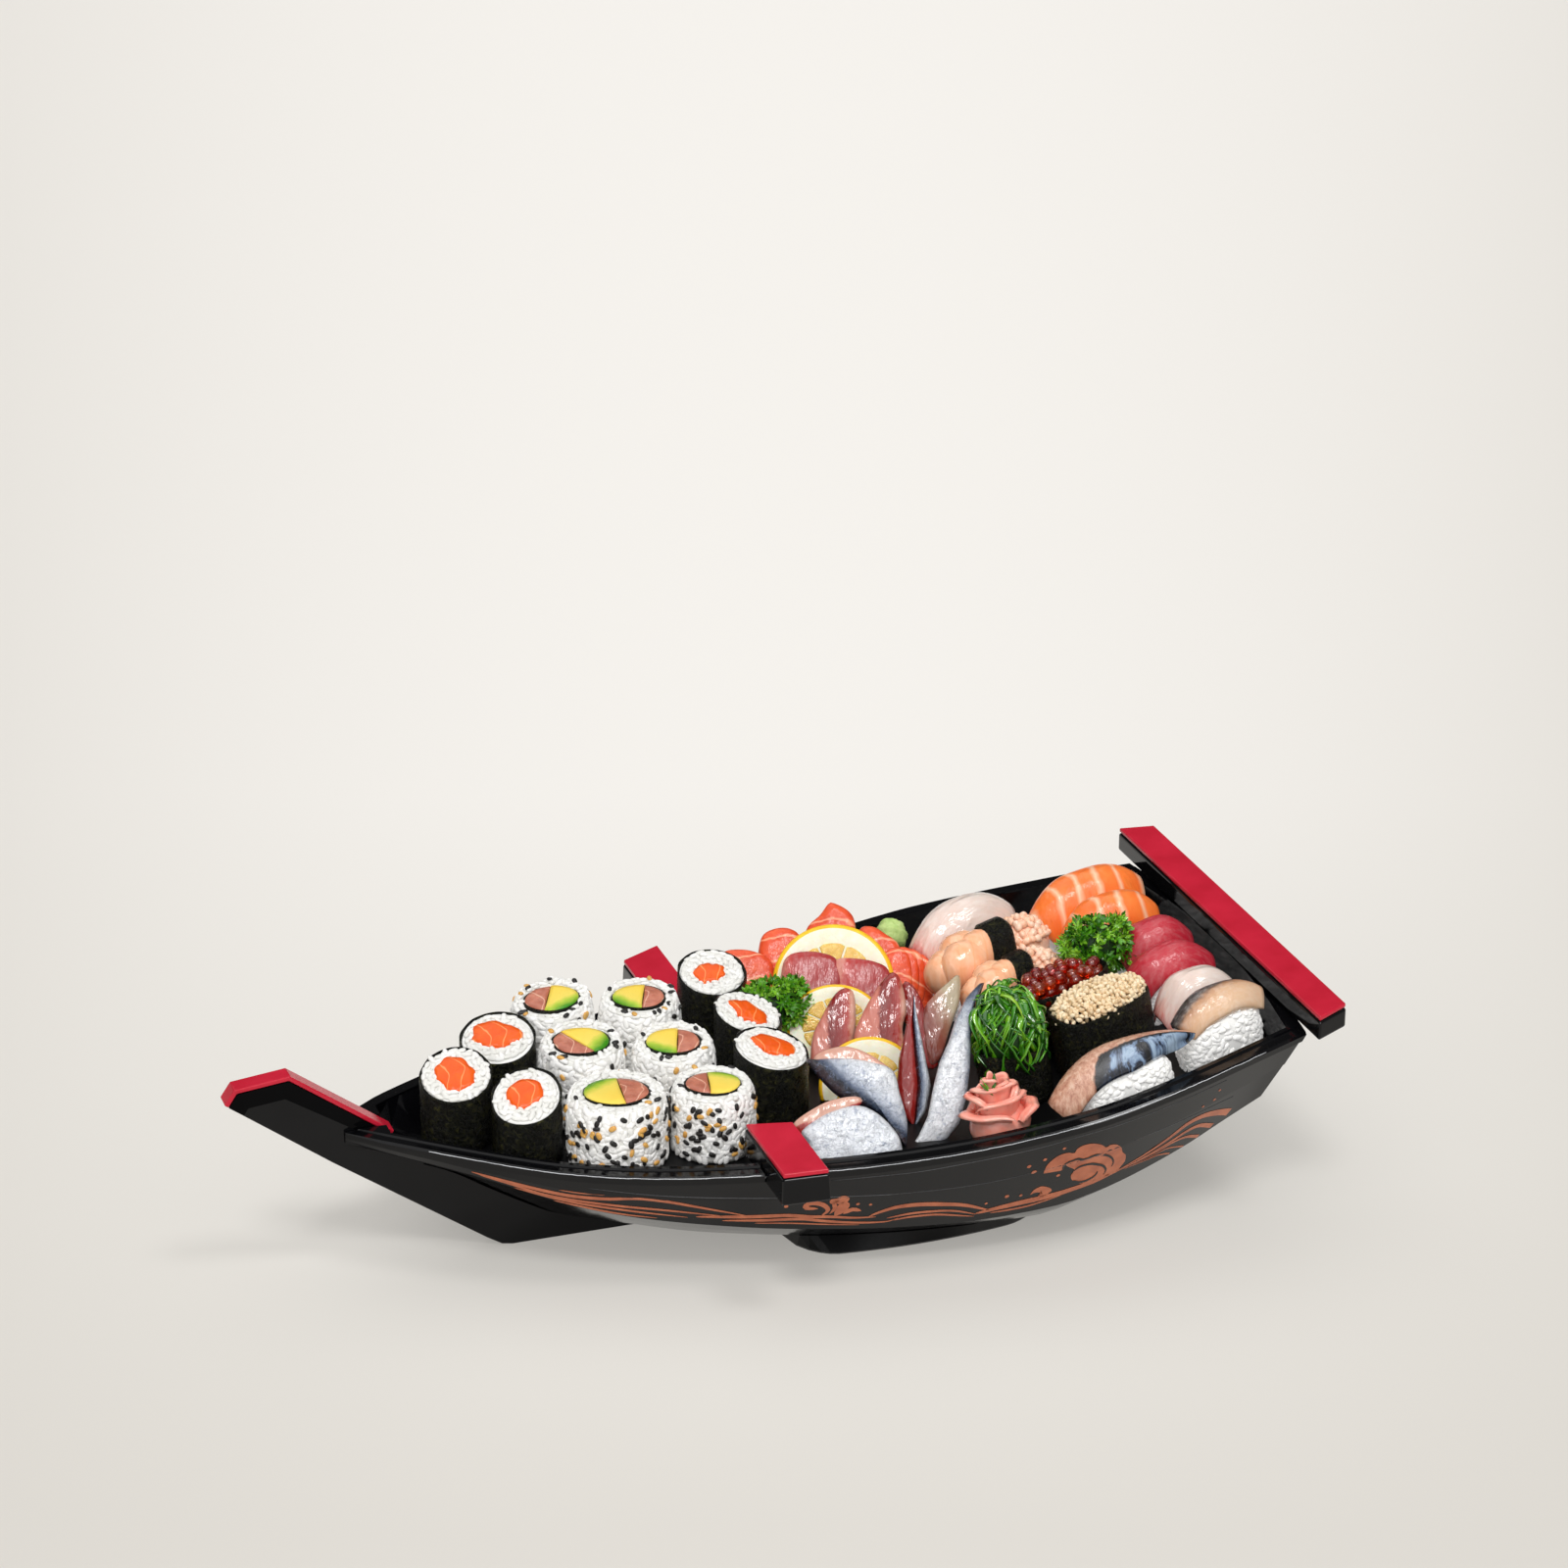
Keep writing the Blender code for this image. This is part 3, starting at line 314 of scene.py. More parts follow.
def copper_finish():
    f = Finish("copper_paint", specular=0.4)
    f.set(base=f.ramp(f.noise(160.0, 5.0), [(0.3, (168, 88, 56)), (0.7, (202, 116, 78))]))
    f.set(rough=f.grey(f.noise(900.0, 4.0), [(0.3, 0.3), (0.8, 0.5)]))
    return f.material


BLACK = lacquer("black_lacquer", (4, 4, 6), (9, 9, 11), 0.06, 0.16, 0.25)
# Darker copy of the black lacquer with little reflection, for the slanted band of the stem: painted shade
DEEP_BLACK = lacquer("black_painted_shade", (3, 3, 4), (6, 6, 7), 0.05, 0.12, 0.06)
# Light grey lacquer for the line along the outer edge of the rim: a painted highlight
GLEAM = lacquer("painted_rim_highlight", (170, 172, 176), (222, 224, 228), 0.1, 0.25, 0.5)
# Grey lacquer for the raised lap lines of the hull: a painted highlight
WORN = lacquer("painted_lap_highlight", (62, 63, 66), (92, 93, 96), 0.2, 0.4, 0.3)
SATIN = lacquer("black_satin", (4, 4, 5), (9, 9, 10), 0.32, 0.5, 0.2)
RED = lacquer("red_lacquer", (184, 24, 46), (202, 34, 58), 0.14, 0.26, 0.3)
COPPER = copper_finish()
RICE = rice_finish("cooked_rice", (227, 226, 220), (241, 240, 237), 0.1, 0.0)
# Brighter copies of the rice with a little glow of their own, painted light: one for grains on the sides of
# rolls, one for beds of nigiri, whose sides lie in shade
WALL_RICE = rice_finish("wall_rice_painted_light", (240, 239, 235), (250, 249, 247), 0.0, 0.02)
PRESSED_RICE = rice_finish("bed_rice_painted_light", (238, 237, 233), (248, 247, 245), 0.0, 0.13)
NORI = nori_finish()
SALMON = fish_finish("salmon", (255, 132, 50), (250, 108, 26), (255, 200, 162), 10.0, 0.02, 0.62, fine=0.08,
                     soft=0.05)
SALMON_CUT = fish_finish("salmon_cut", (240, 92, 42), (212, 56, 18), (255, 176, 136), 11.0, 0.03, 0.86,
                         fine=0.08, soft=0.1, wet=0.15)
CORE_SALMON = fish_finish("salmon_core", (240, 96, 0), (230, 78, 0), (250, 164, 100), 6.4, 0.05, 0.9,
                          fine=0.03, soft=0.0, wet=0.02)
PINK_SALMON = fish_finish("pink_salmon", (206, 126, 100), (160, 80, 60), (240, 190, 164), 7.0, 0.06, 0.9,
                          fine=0.12, soft=0.05)
TUNA = zone_finish("tuna", [(0.0, (200, 76, 78)), (0.1, (186, 40, 54)), (0.5, (190, 34, 52)),
                            (1.0, (174, 28, 48))],
                   rough=0.34, soft=0.03, fine=0.8, pale=0.1, streak=0.5, wet=0.2)
BREAM = zone_finish("sea_bream", [(0.0, (216, 116, 108)), (0.06, (230, 178, 164)), (0.16, (228, 202, 190)),
                                  (0.7, (226, 206, 194)), (1.0, (234, 216, 204))], rough=0.2, soft=0.04,
                    pale=0.5, fine=0.5, streak=0.3, wet=0.7, relief=1.2)
SHRIMP = fish_finish("shrimp", (255, 206, 172), (250, 172, 124), (250, 176, 128), 6.5, 0.03, 0.85,
                     rough=0.18, soft=0.04, fine=0.3, wet=0.5)
CHOPPED = plain_food("chopped_shrimp", [(0.1, (252, 184, 146)), (0.5, (255, 214, 188)),
                                        (0.9, (255, 194, 156))], 200.0, 0.22, 0.03, 0.4, 0.4, True)
TUNA_CUT = zone_finish("tuna_cut", [(0.02, (210, 130, 116)), (0.1, (188, 62, 56)), (0.22, (172, 38, 38)),
                                    (0.95, (152, 24, 30))],
                       fine=0.5, pale=0.1, soft=0.03, streak=0.4, wet=0.15)
RED_FISH = zone_finish("horse_mackerel_flesh", [(0.02, (204, 120, 104)), (0.1, (122, 12, 10)),
                                                (0.4, (146, 24, 20)), (0.54, (172, 56, 48)),
                                                (0.64, (206, 146, 126)), (0.95, (204, 174, 154))],
                       rough=0.14, pale=0.08, fine=0.4, soft=0.03, streak=0.35, wet=0.4)
BROWN_FISH = zone_finish("horse_mackerel_edge", [(0.1, (112, 42, 40)), (0.4, (150, 84, 70)),
                                                 (0.7, (168, 126, 102)), (0.95, (184, 166, 136))],
                         rough=0.14, pale=0.15, fine=0.4, soft=0.03, streak=0.4, wet=0.6)
SILVER = silver_finish()
CURED = cured_finish()
SEARED = zone_finish("seared_mackerel", [(0.1, (48, 42, 44)), (0.28, (88, 72, 64)), (0.42, (184, 136, 100)),
                                         (0.6, (212, 168, 130)), (0.95, (222, 186, 152))],
                     fine=0.6, soft=0.03, pale=0.25, streak=0.6)
PEEL = plain_food("lemon_peel", [(0.3, (246, 184, 10)), (0.7, (255, 206, 34))], 200.0, 0.32, 0.1, 0.25)
PITH = plain_food("lemon_pith", [(0.3, (248, 240, 208)), (0.7, (254, 250, 232))], 260.0, 0.5, 0.3)
PULP = plain_food("lemon_pulp", [(0.3, (216, 164, 48)), (0.7, (246, 208, 98))], 420.0, 0.14, 0.2, 0.5, 0.6)
LEAF = plain_food("parsley_leaf", [(0.15, (26, 88, 6)), (0.5, (82, 156, 22)), (0.85, (158, 212, 56))],
                  200.0, 0.28, 0.0, 0.2, 0.4, True)
WEED = plain_food("green_seaweed", [(0.15, (14, 70, 4)), (0.45, (60, 138, 16)), (0.75, (122, 184, 36)),
                                    (0.95, (204, 224, 80))], 120.0, 0.06, 0.0, 0.1, 1.0, True)
ROE = roe_finish()
CRUMB = plain_food("crumb", [(0.1, (196, 160, 112)), (0.4, (238, 212, 172)), (0.85, (250, 232, 200))],
                   300.0, 0.7, 0.03, 0.3, 0.0, True)
GINGER = plain_food("pickled_ginger", [(0.3, (255, 138, 118)), (0.7, (255, 192, 174))], 110.0, 0.26, 0.1,
                    0.2, 0.4)
WASABI = plain_food("wasabi", [(0.3, (164, 200, 104)), (0.7, (204, 226, 146))], 260.0, 0.5, 0.03, 0.8)
# Dark green for balls inside the parsley and seaweed heaps: painted shade between leaves and strands
LEAF_SHADE = plain_food("painted_shade_green", [(0.3, (10, 40, 6)), (0.7, (24, 70, 12))], 400.0, 0.5, 0.0, 0.4)
SEED_BLACK = plain_food("black_sesame", [(0.3, (14, 13, 12)), (0.8, (40, 36, 34))], 900.0, 0.4, 0.0, 0.1)
SEED_GOLD = plain_food("gold_sesame", [(0.3, (206, 146, 60)), (0.8, (236, 190, 110))], 900.0, 0.45, 0.1,
                       0.1)
AVOCADO = avocado_finish()


class Solid:
    """Points and faces of one piece, gathered part by part in millimetres."""

    def __init__(self):
        self.points = []
        self.faces = []
        self.kinds = []
        self.flows = []
        self.finishes = []
        self.count = 0

    def add(self, points, faces, finish, flow=None):
        points = np.asarray(points, float)
        if finish not in self.finishes:
            self.finishes.append(finish)
        self.points.append(points)
        start = self.count
        self.faces.extend([tuple(i + start for i in face) for face in faces])
        self.kinds.extend([self.finishes.index(finish)] * len(faces))
        if flow is None:
            flow = np.column_stack([points[:, 0], points[:, 1], np.full(len(points), 0.5)])
        self.flows.append(np.asarray(flow, float))
        self.count += len(points)

    def build(self, name, place):
        mesh = bpy.data.meshes.new(name)
        points = np.concatenate(self.points) * MM
        mesh.from_pydata(points.tolist(), [], self.faces)
        for finish in self.finishes:
            mesh.materials.append(finish)
        mesh.polygons.foreach_set("material_index", np.array(self.kinds, np.int32))
        mesh.polygons.foreach_set("use_smooth", np.ones(len(self.faces), bool))
        flow = mesh.attributes.new("flow", "FLOAT_VECTOR", "POINT")
        flow.data.foreach_set("vector", np.concatenate(self.flows).astype(np.float32).ravel())
        bm = bmesh.new()
        bm.from_mesh(mesh)
        bmesh.ops.recalc_face_normals(bm, faces=bm.faces)
        bm.to_mesh(mesh)
        bm.free()
        piece = bpy.data.objects.new(name, mesh)
        piece.matrix_world = place
        bpy.context.scene.collection.objects.link(piece)
        return piece


def dress(solid, node, body, slot, place):
    """Finish a piece that stands for a node and rides on its body."""
    piece = solid.build(node + "_look", place)
    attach(piece, body)
    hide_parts(node)
    return piece


def deck_height(x):
    return DECK_TOP + max(0.0, RAMP_SLOPE * (x - RAMP_START))


def on_deck(x, y, heading=0.0, upright=False):
    """Place of a piece that stands on the deck, pitched with the ramp."""
    slope = RAMP_SLOPE if x > RAMP_START and not upright else 0.0
    turn = Matrix.Rotation(math.radians(heading), 4, "Z")
    pitch = Matrix.Rotation(-math.atan(slope), 4, "Y")
    start = Vector((x - CENTRE_SHIFT, y, deck_height(x) + SEAT)) * MM
    return Matrix.Translation(start) @ pitch @ turn


def around(count):
    """Equal angles round a full turn."""
    return np.linspace(0.0, 2 * math.pi, count, endpoint=False)


def stacked(rows):
    """Points of all rows in one list."""
    return [point for row in rows for point in row]


def fan(start, count, tip):
    """Triangles from a closed ring of points to a tip."""
    return [(start + j, start + (j + 1) % count, tip) for j in range(count)]


def grid_faces(rows, columns, closed=False):
    """Quads of a grid of points; closed joins the last column to the first."""
    faces = []
    span = columns if closed else columns - 1
    for i in range(rows - 1):
        for j in range(span):
            k = (j + 1) % columns
            faces.append((i * columns + j, i * columns + k, (i + 1) * columns + k, (i + 1) * columns + j))
    return faces


def shell_faces(rows, columns):
    """Faces of a closed sheet: an upper grid, a lower grid of the same size and the edge between."""
    count = rows * columns
    faces = grid_faces(rows, columns)
    faces += [tuple(reversed([i + count for i in face])) for face in grid_faces(rows, columns)]
    edge = list(range(columns))
    edge += [i * columns + columns - 1 for i in range(1, rows)]
    edge += [(rows - 1) * columns + j for j in range(columns - 2, -1, -1)]
    edge += [i * columns for i in range(rows - 2, 0, -1)]
    faces += [(a, b, b + count, a + count) for a, b in zip(edge, edge[1:] + edge[:1])]
    return faces


def ball(rings=5, sides=8):
    """Unit ball with a pole at each end of x."""
    points = [(1.0, 0.0, 0.0)]
    for i in range(1, rings):
        a = math.pi * i / rings
        for j in range(sides):
            b = 2 * math.pi * j / sides
            points.append((math.cos(a), math.sin(a) * math.cos(b), math.sin(a) * math.sin(b)))
    points.append((-1.0, 0.0, 0.0))
    faces = [(0, 1 + j, 1 + (j + 1) % sides) for j in range(sides)]
    for i in range(rings - 2):
        a = 1 + i * sides
        for j in range(sides):
            k = (j + 1) % sides
            faces.append((a + j, a + sides + j, a + sides + k, a + k))
    a = 1 + (rings - 2) * sides
    faces += [(a + j, len(points) - 1, a + (j + 1) % sides) for j in range(sides)]
    return np.array(points), faces


def plump(shape, power):
    """Ball made fuller towards its ends."""
    points, faces = shape
    round_part = np.hypot(points[:, 1], points[:, 2])[:, None]
    full = np.where(round_part > 0.0, np.maximum(round_part, 1e-6) ** (power - 1.0), 0.0)
    return np.hstack([points[:, :1], points[:, 1:] * full]), faces


def on_end(shape):
    """Ball turned so that its poles lie above and below."""
    points, faces = shape
    return points[:, [1, 2, 0]], faces


def blob(solid, shape, size, centre, finish):
    """Ball of a size set at a centre."""
    points, faces = shape
    solid.add(points * np.array(size) + np.array(centre), faces, finish)


GRAIN = plump(ball(6, 8), 0.72)
PEARL = ball(10, 14)
LUMP = ball(5, 7)


def turns(normals, spins):
    """Two axes that lie in the surface for each scattered copy, along it and across it."""
    helper = np.where(np.abs(normals[:, 2:3]) < 0.9, [[0.0, 0.0, 1.0]], [[1.0, 0.0, 0.0]])
    first = np.cross(helper, normals)
    first /= np.linalg.norm(first, axis=1, keepdims=True)
    second = np.cross(normals, first)
    c, s = np.cos(spins)[:, None], np.sin(spins)[:, None]
    return first * c + second * s, second * c - first * s


def scatter(solid, shape, spots, normals, sizes, finish, tilt=0.25, spins=None):
    """Copies of a small shape set on spots of a surface, each turned at random."""
    spots = np.asarray(spots, float)
    if len(spots) == 0:
        return
    normals = np.asarray(normals, float) + RNG.normal(0.0, tilt, (len(spots), 3))
    normals /= np.linalg.norm(normals, axis=1, keepdims=True)
    if spins is None:
        spins = RNG.uniform(0.0, 2 * math.pi, len(spots))
    along, across = turns(normals, np.asarray(spins))
    points, faces = shape
    sizes = np.asarray(sizes, float)
    grow = RNG.uniform(0.88, 1.12, (len(spots), 1, 1))
    local = points[None] * sizes[None, None] * grow
    world = (local[:, :, 0:1] * along[:, None] + local[:, :, 1:2] * across[:, None]
             + local[:, :, 2:3] * normals[:, None] + spots[:, None])
    count = len(points)
    every = [tuple(v + i * count for v in face) for i in range(len(spots)) for face in faces]
    solid.add(world.reshape(-1, 3), every, finish)


# Half sizes of grains on the top of a roll, on its side and on a bed, and of sesame seeds and roe
GRAIN_SIZE = (2.1, 1.15, 0.85)
WALL_GRAIN = (2.1, 1.2, 0.55)
BED_GRAIN = (2.4, 1.3, 0.75)
SEED_SIZE = (1.6, 1.05, 0.6)
ROE_RADIUS = 2.6
# Shoulder of an inside-out roll: how far it is drawn in, and from which share of the height
SHOULDER = 1.6
SHOULDER_FROM = 0.72
# Wrap of a roll: heights of its rows as shares, how its foot is drawn in and the depth of its creases
WALL_LEVELS = (0.0, 0.06, 0.2, 0.4, 0.6, 0.8, 0.88, 0.95, 1.0)
FOOT_TUCK = 0.985
CREASE = 0.16
# Patch on a roll: how deep its edge goes into the rice, and the share of its lift at the edge
DISC_SINK = 2.0
EDGE_RISE = 0.55
# Filling of an inside-out roll: half the angle of the avocado, and the bulge of the cut across
AVOCADO_SPREAD = 1.72
CUT_BULGE = 0.2
# Bed of rice: how square it is, its rows and the profile that its grains follow, as width and height
BED_POWER = 3.0
BED_ROWS = ((0.9, 0.0), (0.97, 0.14), (0.97, 0.55), (0.9, 0.84), (0.7, 0.95), (0.3, 1.0))
BED_PROFILE = ((0.93, 0.05), (0.97, 0.24), (0.98, 0.4), (0.96, 0.55), (0.93, 0.7), (0.87, 0.82),
               (0.76, 0.92), (0.6, 0.98), (0.4, 1.0))
# Seaweed round a nigiri, as places along it, and round a gunkan, as insets and heights
BAND_ROWS = (-0.04, -0.02, 0.04, 0.1, 0.16, 0.18)
BAND_WALL = ((0.2, 0.0), (0.0, 0.1), (0.0, 0.4), (0.0, 0.7), (0.0, 0.96), (0.3, 1.0), (0.9, 0.99),
             (1.2, 0.8))
# Heap of green seaweed: heights of its edge and its top, as shares, and the points of a strand
WEED_SHOULDER, WEED_CREST = 0.56, 1.03
STRAND_STEPS = 17
# Soft cut of fish: its size and its thickness from the edge to the middle, as shares
SLAB_PROFILE = ((1.0, 0.0), (0.985, 0.5), (0.94, 0.82), (0.86, 0.96), (0.7, 1.0), (0.45, 1.0), (0.2, 1.0))
# Steps along curves, and a direction near upright that no strand follows
CURVE_STEP = 1.2
FINE_STEP = 0.4
NEAR_UP = np.array([0.12, 0.2, 0.97])
# Petals of the ginger rose
PETALS = 11


def superellipse(angle, half_length, half_width, power):
    """Spot on an oval that is squarer the higher its power."""
    c, s = math.cos(angle), math.sin(angle)
    return (math.copysign(abs(c) ** (2 / power), c) * half_length,
            math.copysign(abs(s) ** (2 / power), s) * half_width)


def wobble(seed, count, amount, waves=4):
    """Smooth random ripple round a closed outline."""
    rng = np.random.default_rng(seed)
    angles = around(count)
    total = np.zeros(count)
    for w in range(1, waves + 1):
        total += rng.normal(0.0, amount / w) * np.cos(w * angles + rng.uniform(0.0, PHASE))
    return total


class Roll:
    """Standing roll with a slanted top, in its own frame."""

    def __init__(self, node, height, slant, turn):
        low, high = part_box(node)
        self.radius = (high.x - low.x) / 2 / MM
        self.height = height
        back = math.tan(math.radians(slant))
        side = math.tan(math.radians(turn))
        self.lean = (back * math.sin(VIEW_TURN) - side * math.cos(VIEW_TURN),
                     back * math.cos(VIEW_TURN) + side * math.sin(VIEW_TURN))
        self.normal = np.array([-self.lean[0], -self.lean[1], 1.0])
        self.normal /= np.linalg.norm(self.normal)
        middle = (low + high) / 2
        self.place = Matrix.Translation(Vector((middle.x, middle.y, low.z)))

    def top(self, x, y):
        return self.height + self.lean[0] * x + self.lean[1] * y


def drawn_in(share, shoulder):
    """How far a shoulder draws the side of a roll in, at a share of its height."""
    return shoulder * max(0.0, (share - SHOULDER_FROM) / (1.0 - SHOULDER_FROM)) ** 2


def wall(solid, roll, radius, lip, finish, seed, ripple, sides=84, shoulder=0.0):
    """Upright wrap of a roll, folded in over its top edge; shoulder draws its top in."""
    edge = radius + wobble(seed, sides, ripple)
    angles = around(sides)
    rows = []
    for share in WALL_LEVELS:
        row = []
        for j, a in enumerate(angles):
            r = edge[j] * (FOOT_TUCK if share == 0.0 else 1.0) + CREASE * math.sin(9 * a + 13 * share + seed)
            r -= drawn_in(share, shoulder)
            x, y = r * math.cos(a), r * math.sin(a)
            row.append((x, y, roll.top(x, y) * share))
        rows.append(row)
    edge = edge - shoulder
    for inset, drop in ((0.35, -0.25), (lip, -0.1), (lip + 0.1, 2.6)):
        rows.append([((edge[j] - inset) * math.cos(a), (edge[j] - inset) * math.sin(a),
                      roll.top(edge[j] * math.cos(a), edge[j] * math.sin(a)) - drop)
                     for j, a in enumerate(angles)])
    faces = grid_faces(len(rows), sides, True) + fan(0, sides, len(rows) * sides)
    solid.add(stacked(rows) + [(0.0, 0.0, 0.0)], faces, finish)


def disc(solid, roll, outline, lift, crown, finish, rings=(1.0, 0.94, 0.7, 0.35), tints=None):
    """Patch on the slanted top: an outline raised above the rice, with rounded edges."""
    outline = np.asarray(outline, float)
    count = len(outline)
    middle = outline.mean(axis=0)
    points = []
    for index, share in enumerate((1.0,) + tuple(rings)):
        for x, y in middle + (outline - middle) * share:
            height = lift * (EDGE_RISE if index == 1 else 1.0) + crown * (1 - share ** 2)
            points.append((x, y, roll.top(x, y) + (-DISC_SINK if index == 0 else height)))
    points.append((*middle, roll.top(*middle) + lift + crown))
    points = np.array(points)
    faces = grid_faces(len(rings) + 1, count, True) + fan(len(rings) * count, count, len(points) - 1)
    tint = tints(points) if tints else np.full(len(points), 0.5)
    solid.add(points, faces, finish, np.column_stack([points[:, 0], points[:, 1], tint]))


def ring_spots(roll, inner, outer, step, length):
    """Spots on the slanted top between two radii, and the turns that lay a grain along its ring."""
    spots, spins = [], []
    for r in np.arange(inner + step / 2, outer, step):
        count = max(3, int(2 * math.pi * r / length))
        for a in (np.arange(count) + RNG.uniform(0, 1)) / count * 2 * math.pi:
            q = min(outer, r + RNG.normal(0.0, 0.25 * step))
            x, y = q * math.cos(a), q * math.sin(a)
            spots.append((x, y, roll.top(x, y)))
            spins.append(a + math.pi + RNG.normal(0.0, 0.25 if r + step > outer else 0.8))
    return np.array(spots), np.array(spins)


def round_outline(radius, seed, ripple, count=40, stretch=1.0, turn=0.0, waves=5):
    """Irregular round outline."""
    reach = radius + wobble(seed, count, ripple, waves)
    angles = around(count)
    x, y = reach * np.cos(angles) * stretch, reach * np.sin(angles)
    return np.column_stack([x * math.cos(turn) - y * math.sin(turn), x * math.sin(turn) + y * math.cos(turn)])


# Thin rolls: node, height, slant to the viewer, slant to the stern, size of the salmon, its stretch and turn
THIN_ROLLS = [
    ("salmon_roll_1", 27.0, 20.0, 0.0, 7.9, 1.02, 0.9),
    ("salmon_roll_2", 30.0, 16.0, 0.0, 7.4, 1.25, 0.1),
    ("salmon_roll_3", 25.0, 22.0, -4.0, 6.6, 1.08, 0.1),
    ("salmon_roll_4", 33.0, 16.0, 4.0, 5.4, 1.1, 0.4),
    ("salmon_roll_5", 30.0, 10.0, 14.0, 5.4, 1.5, -0.7),
    ("salmon_roll_6", 28.0, 8.0, 12.0, 5.8, 1.4, -0.5),
]

# Inside-out rolls: node, height, slant to the viewer, slant to the stern, where the avocado lies and
# where it turns green, as seen by the viewer in degrees, seeds on the side and on the top
RICE_ROLLS = [
    ("rice_roll_1", 34.0, 8.0, -4.0, -5.0, -55.0, 40, 12),
    ("rice_roll_2", 33.0, 6.0, 0.0, 178.0, 235.0, 18, 12),
    ("rice_roll_3", 31.0, 8.0, 0.0, 40.0, -30.0, 14, 8),
    ("rice_roll_4", 29.0, 6.0, 0.0, 180.0, 250.0, 12, 6),
    ("rice_roll_5", 26.5, 2.0, 0.0, 190.0, 135.0, 170, 4),
    ("rice_roll_6", 26.0, 2.0, 0.0, 5.0, 70.0, 110, 4),
]


def top_grains(solid, roll, inner, outer, step, length, tilt):
    """Rings of rice grains on the slanted top of a roll."""
    spots, spins = ring_spots(roll, inner, outer, step, length)
    scatter(solid, GRAIN, spots, np.tile(roll.normal, (len(spots), 1)), GRAIN_SIZE, RICE, tilt, spins)


def thin_roll(node, height, slant, turn, core, stretch, core_turn):
    """Roll of rice round salmon in a sheet of seaweed."""
    roll = Roll(node, height, slant, turn)
    seed = int(node[-1])
    solid = Solid()
    wall(solid, roll, roll.radius - 0.25, 0.7, NORI, seed, 0.2)
    rice = round_outline(roll.radius - 0.9, seed, 0.05)
    disc(solid, roll, rice, -0.4, 0.2, RICE, rings=(0.96, 0.9, 0.7, 0.35))
    top_grains(solid, roll, core * 0.85, roll.radius - 1.9, 1.6, 3.0, 0.1)
    outline = round_outline(core, seed + 20, 1.0, 44, stretch, core_turn - VIEW_TURN, 9)
    disc(solid, roll, outline, 1.2, 0.4, CORE_SALMON)
    dress(solid, node, node + "_piece", "nori", roll.place)


def half_outline(radius, start, stop, seed):
    """Segment of a round filling between two directions, cut almost straight across."""
    count, knots = 16, 6
    angles = np.linspace(start, stop, count)
    bumps = np.random.default_rng(seed).normal(0.0, 0.25, knots)
    reach = radius + np.interp(np.linspace(0, 1, count), np.linspace(0, 1, knots), bumps)
    arc = [(r * math.cos(a), r * math.sin(a)) for r, a in zip(reach, angles)]
    first, last = np.array(arc[0]), np.array(arc[-1])
    out = np.array([math.cos((start + stop) / 2), math.sin((start + stop) / 2)])
    cut = [tuple(last + (first - last) * t + out * CUT_BULGE * math.sin(math.pi * t))
           for t in (0.2, 0.4, 0.6, 0.8)]
    return arc + cut


def oval(outline):
    """Round filling pressed wider across the view than along it."""
    wide, deep = 1.05, 0.86
    right = np.array([math.cos(VIEW_TURN), -math.sin(VIEW_TURN)])
    back = np.array([math.sin(VIEW_TURN), math.cos(VIEW_TURN)])
    outline = np.asarray(outline, float)
    return np.outer(outline @ right * wide, right) + np.outer(outline @ back * deep, back)


def filling(solid, roll, size, avocado_side, green_side, seed):
    """Avocado and salmon side by side in a ring of seaweed, on the top of a roll."""
    disc(solid, roll, oval(round_outline(size + 0.6, seed, 0.35)), 0.6, 0.0, NORI)
    lie = math.radians(avocado_side) - VIEW_TURN
    green = math.radians(green_side) - VIEW_TURN
    green_way = np.array([math.cos(green), math.sin(green)])

    def tint(points):
        return 0.5 + (points[:, :2] @ green_way) / (1.8 * size)

    avocado = oval(half_outline(size - 0.1, lie - AVOCADO_SPREAD, lie + AVOCADO_SPREAD, seed))
    pink = oval(half_outline(size - 0.3, lie + AVOCADO_SPREAD, lie + 2 * math.pi - AVOCADO_SPREAD, seed + 5))
    disc(solid, roll, avocado, 1.2, 0.3, AVOCADO, tints=tint)
    disc(solid, roll, pink, 1.0, 0.3, PINK_SALMON)


def side_grains(solid, roll, radius):
    """Grains pressed into the side of an inside-out roll."""
    spots, normals = [], []
    for level in np.arange(1.3, roll.height + 6.0, 1.8):
        count = int(2 * math.pi * radius / 3.1)
        for a in (np.arange(count) + RNG.uniform(0, 1)) / count * 2 * math.pi:
            a += RNG.normal(0.0, 0.04)
            z = level + RNG.normal(0.0, 0.4)
            share = z / roll.top(radius * math.cos(a), radius * math.sin(a))
            if z > 0.9 and share < 1.0:
                r = radius - drawn_in(share, SHOULDER)
                spots.append((r * math.cos(a), r * math.sin(a), z))
                normals.append((math.cos(a), math.sin(a), max(0.0, share - SHOULDER_FROM) * 2.0))
    normals = np.array(normals)
    normals /= np.linalg.norm(normals, axis=1, keepdims=True)
    # Side grains take the brighter, faintly glowing rice: painted light on the shaded wall
    scatter(solid, GRAIN, spots, normals, WALL_GRAIN, WALL_RICE, 0.06)


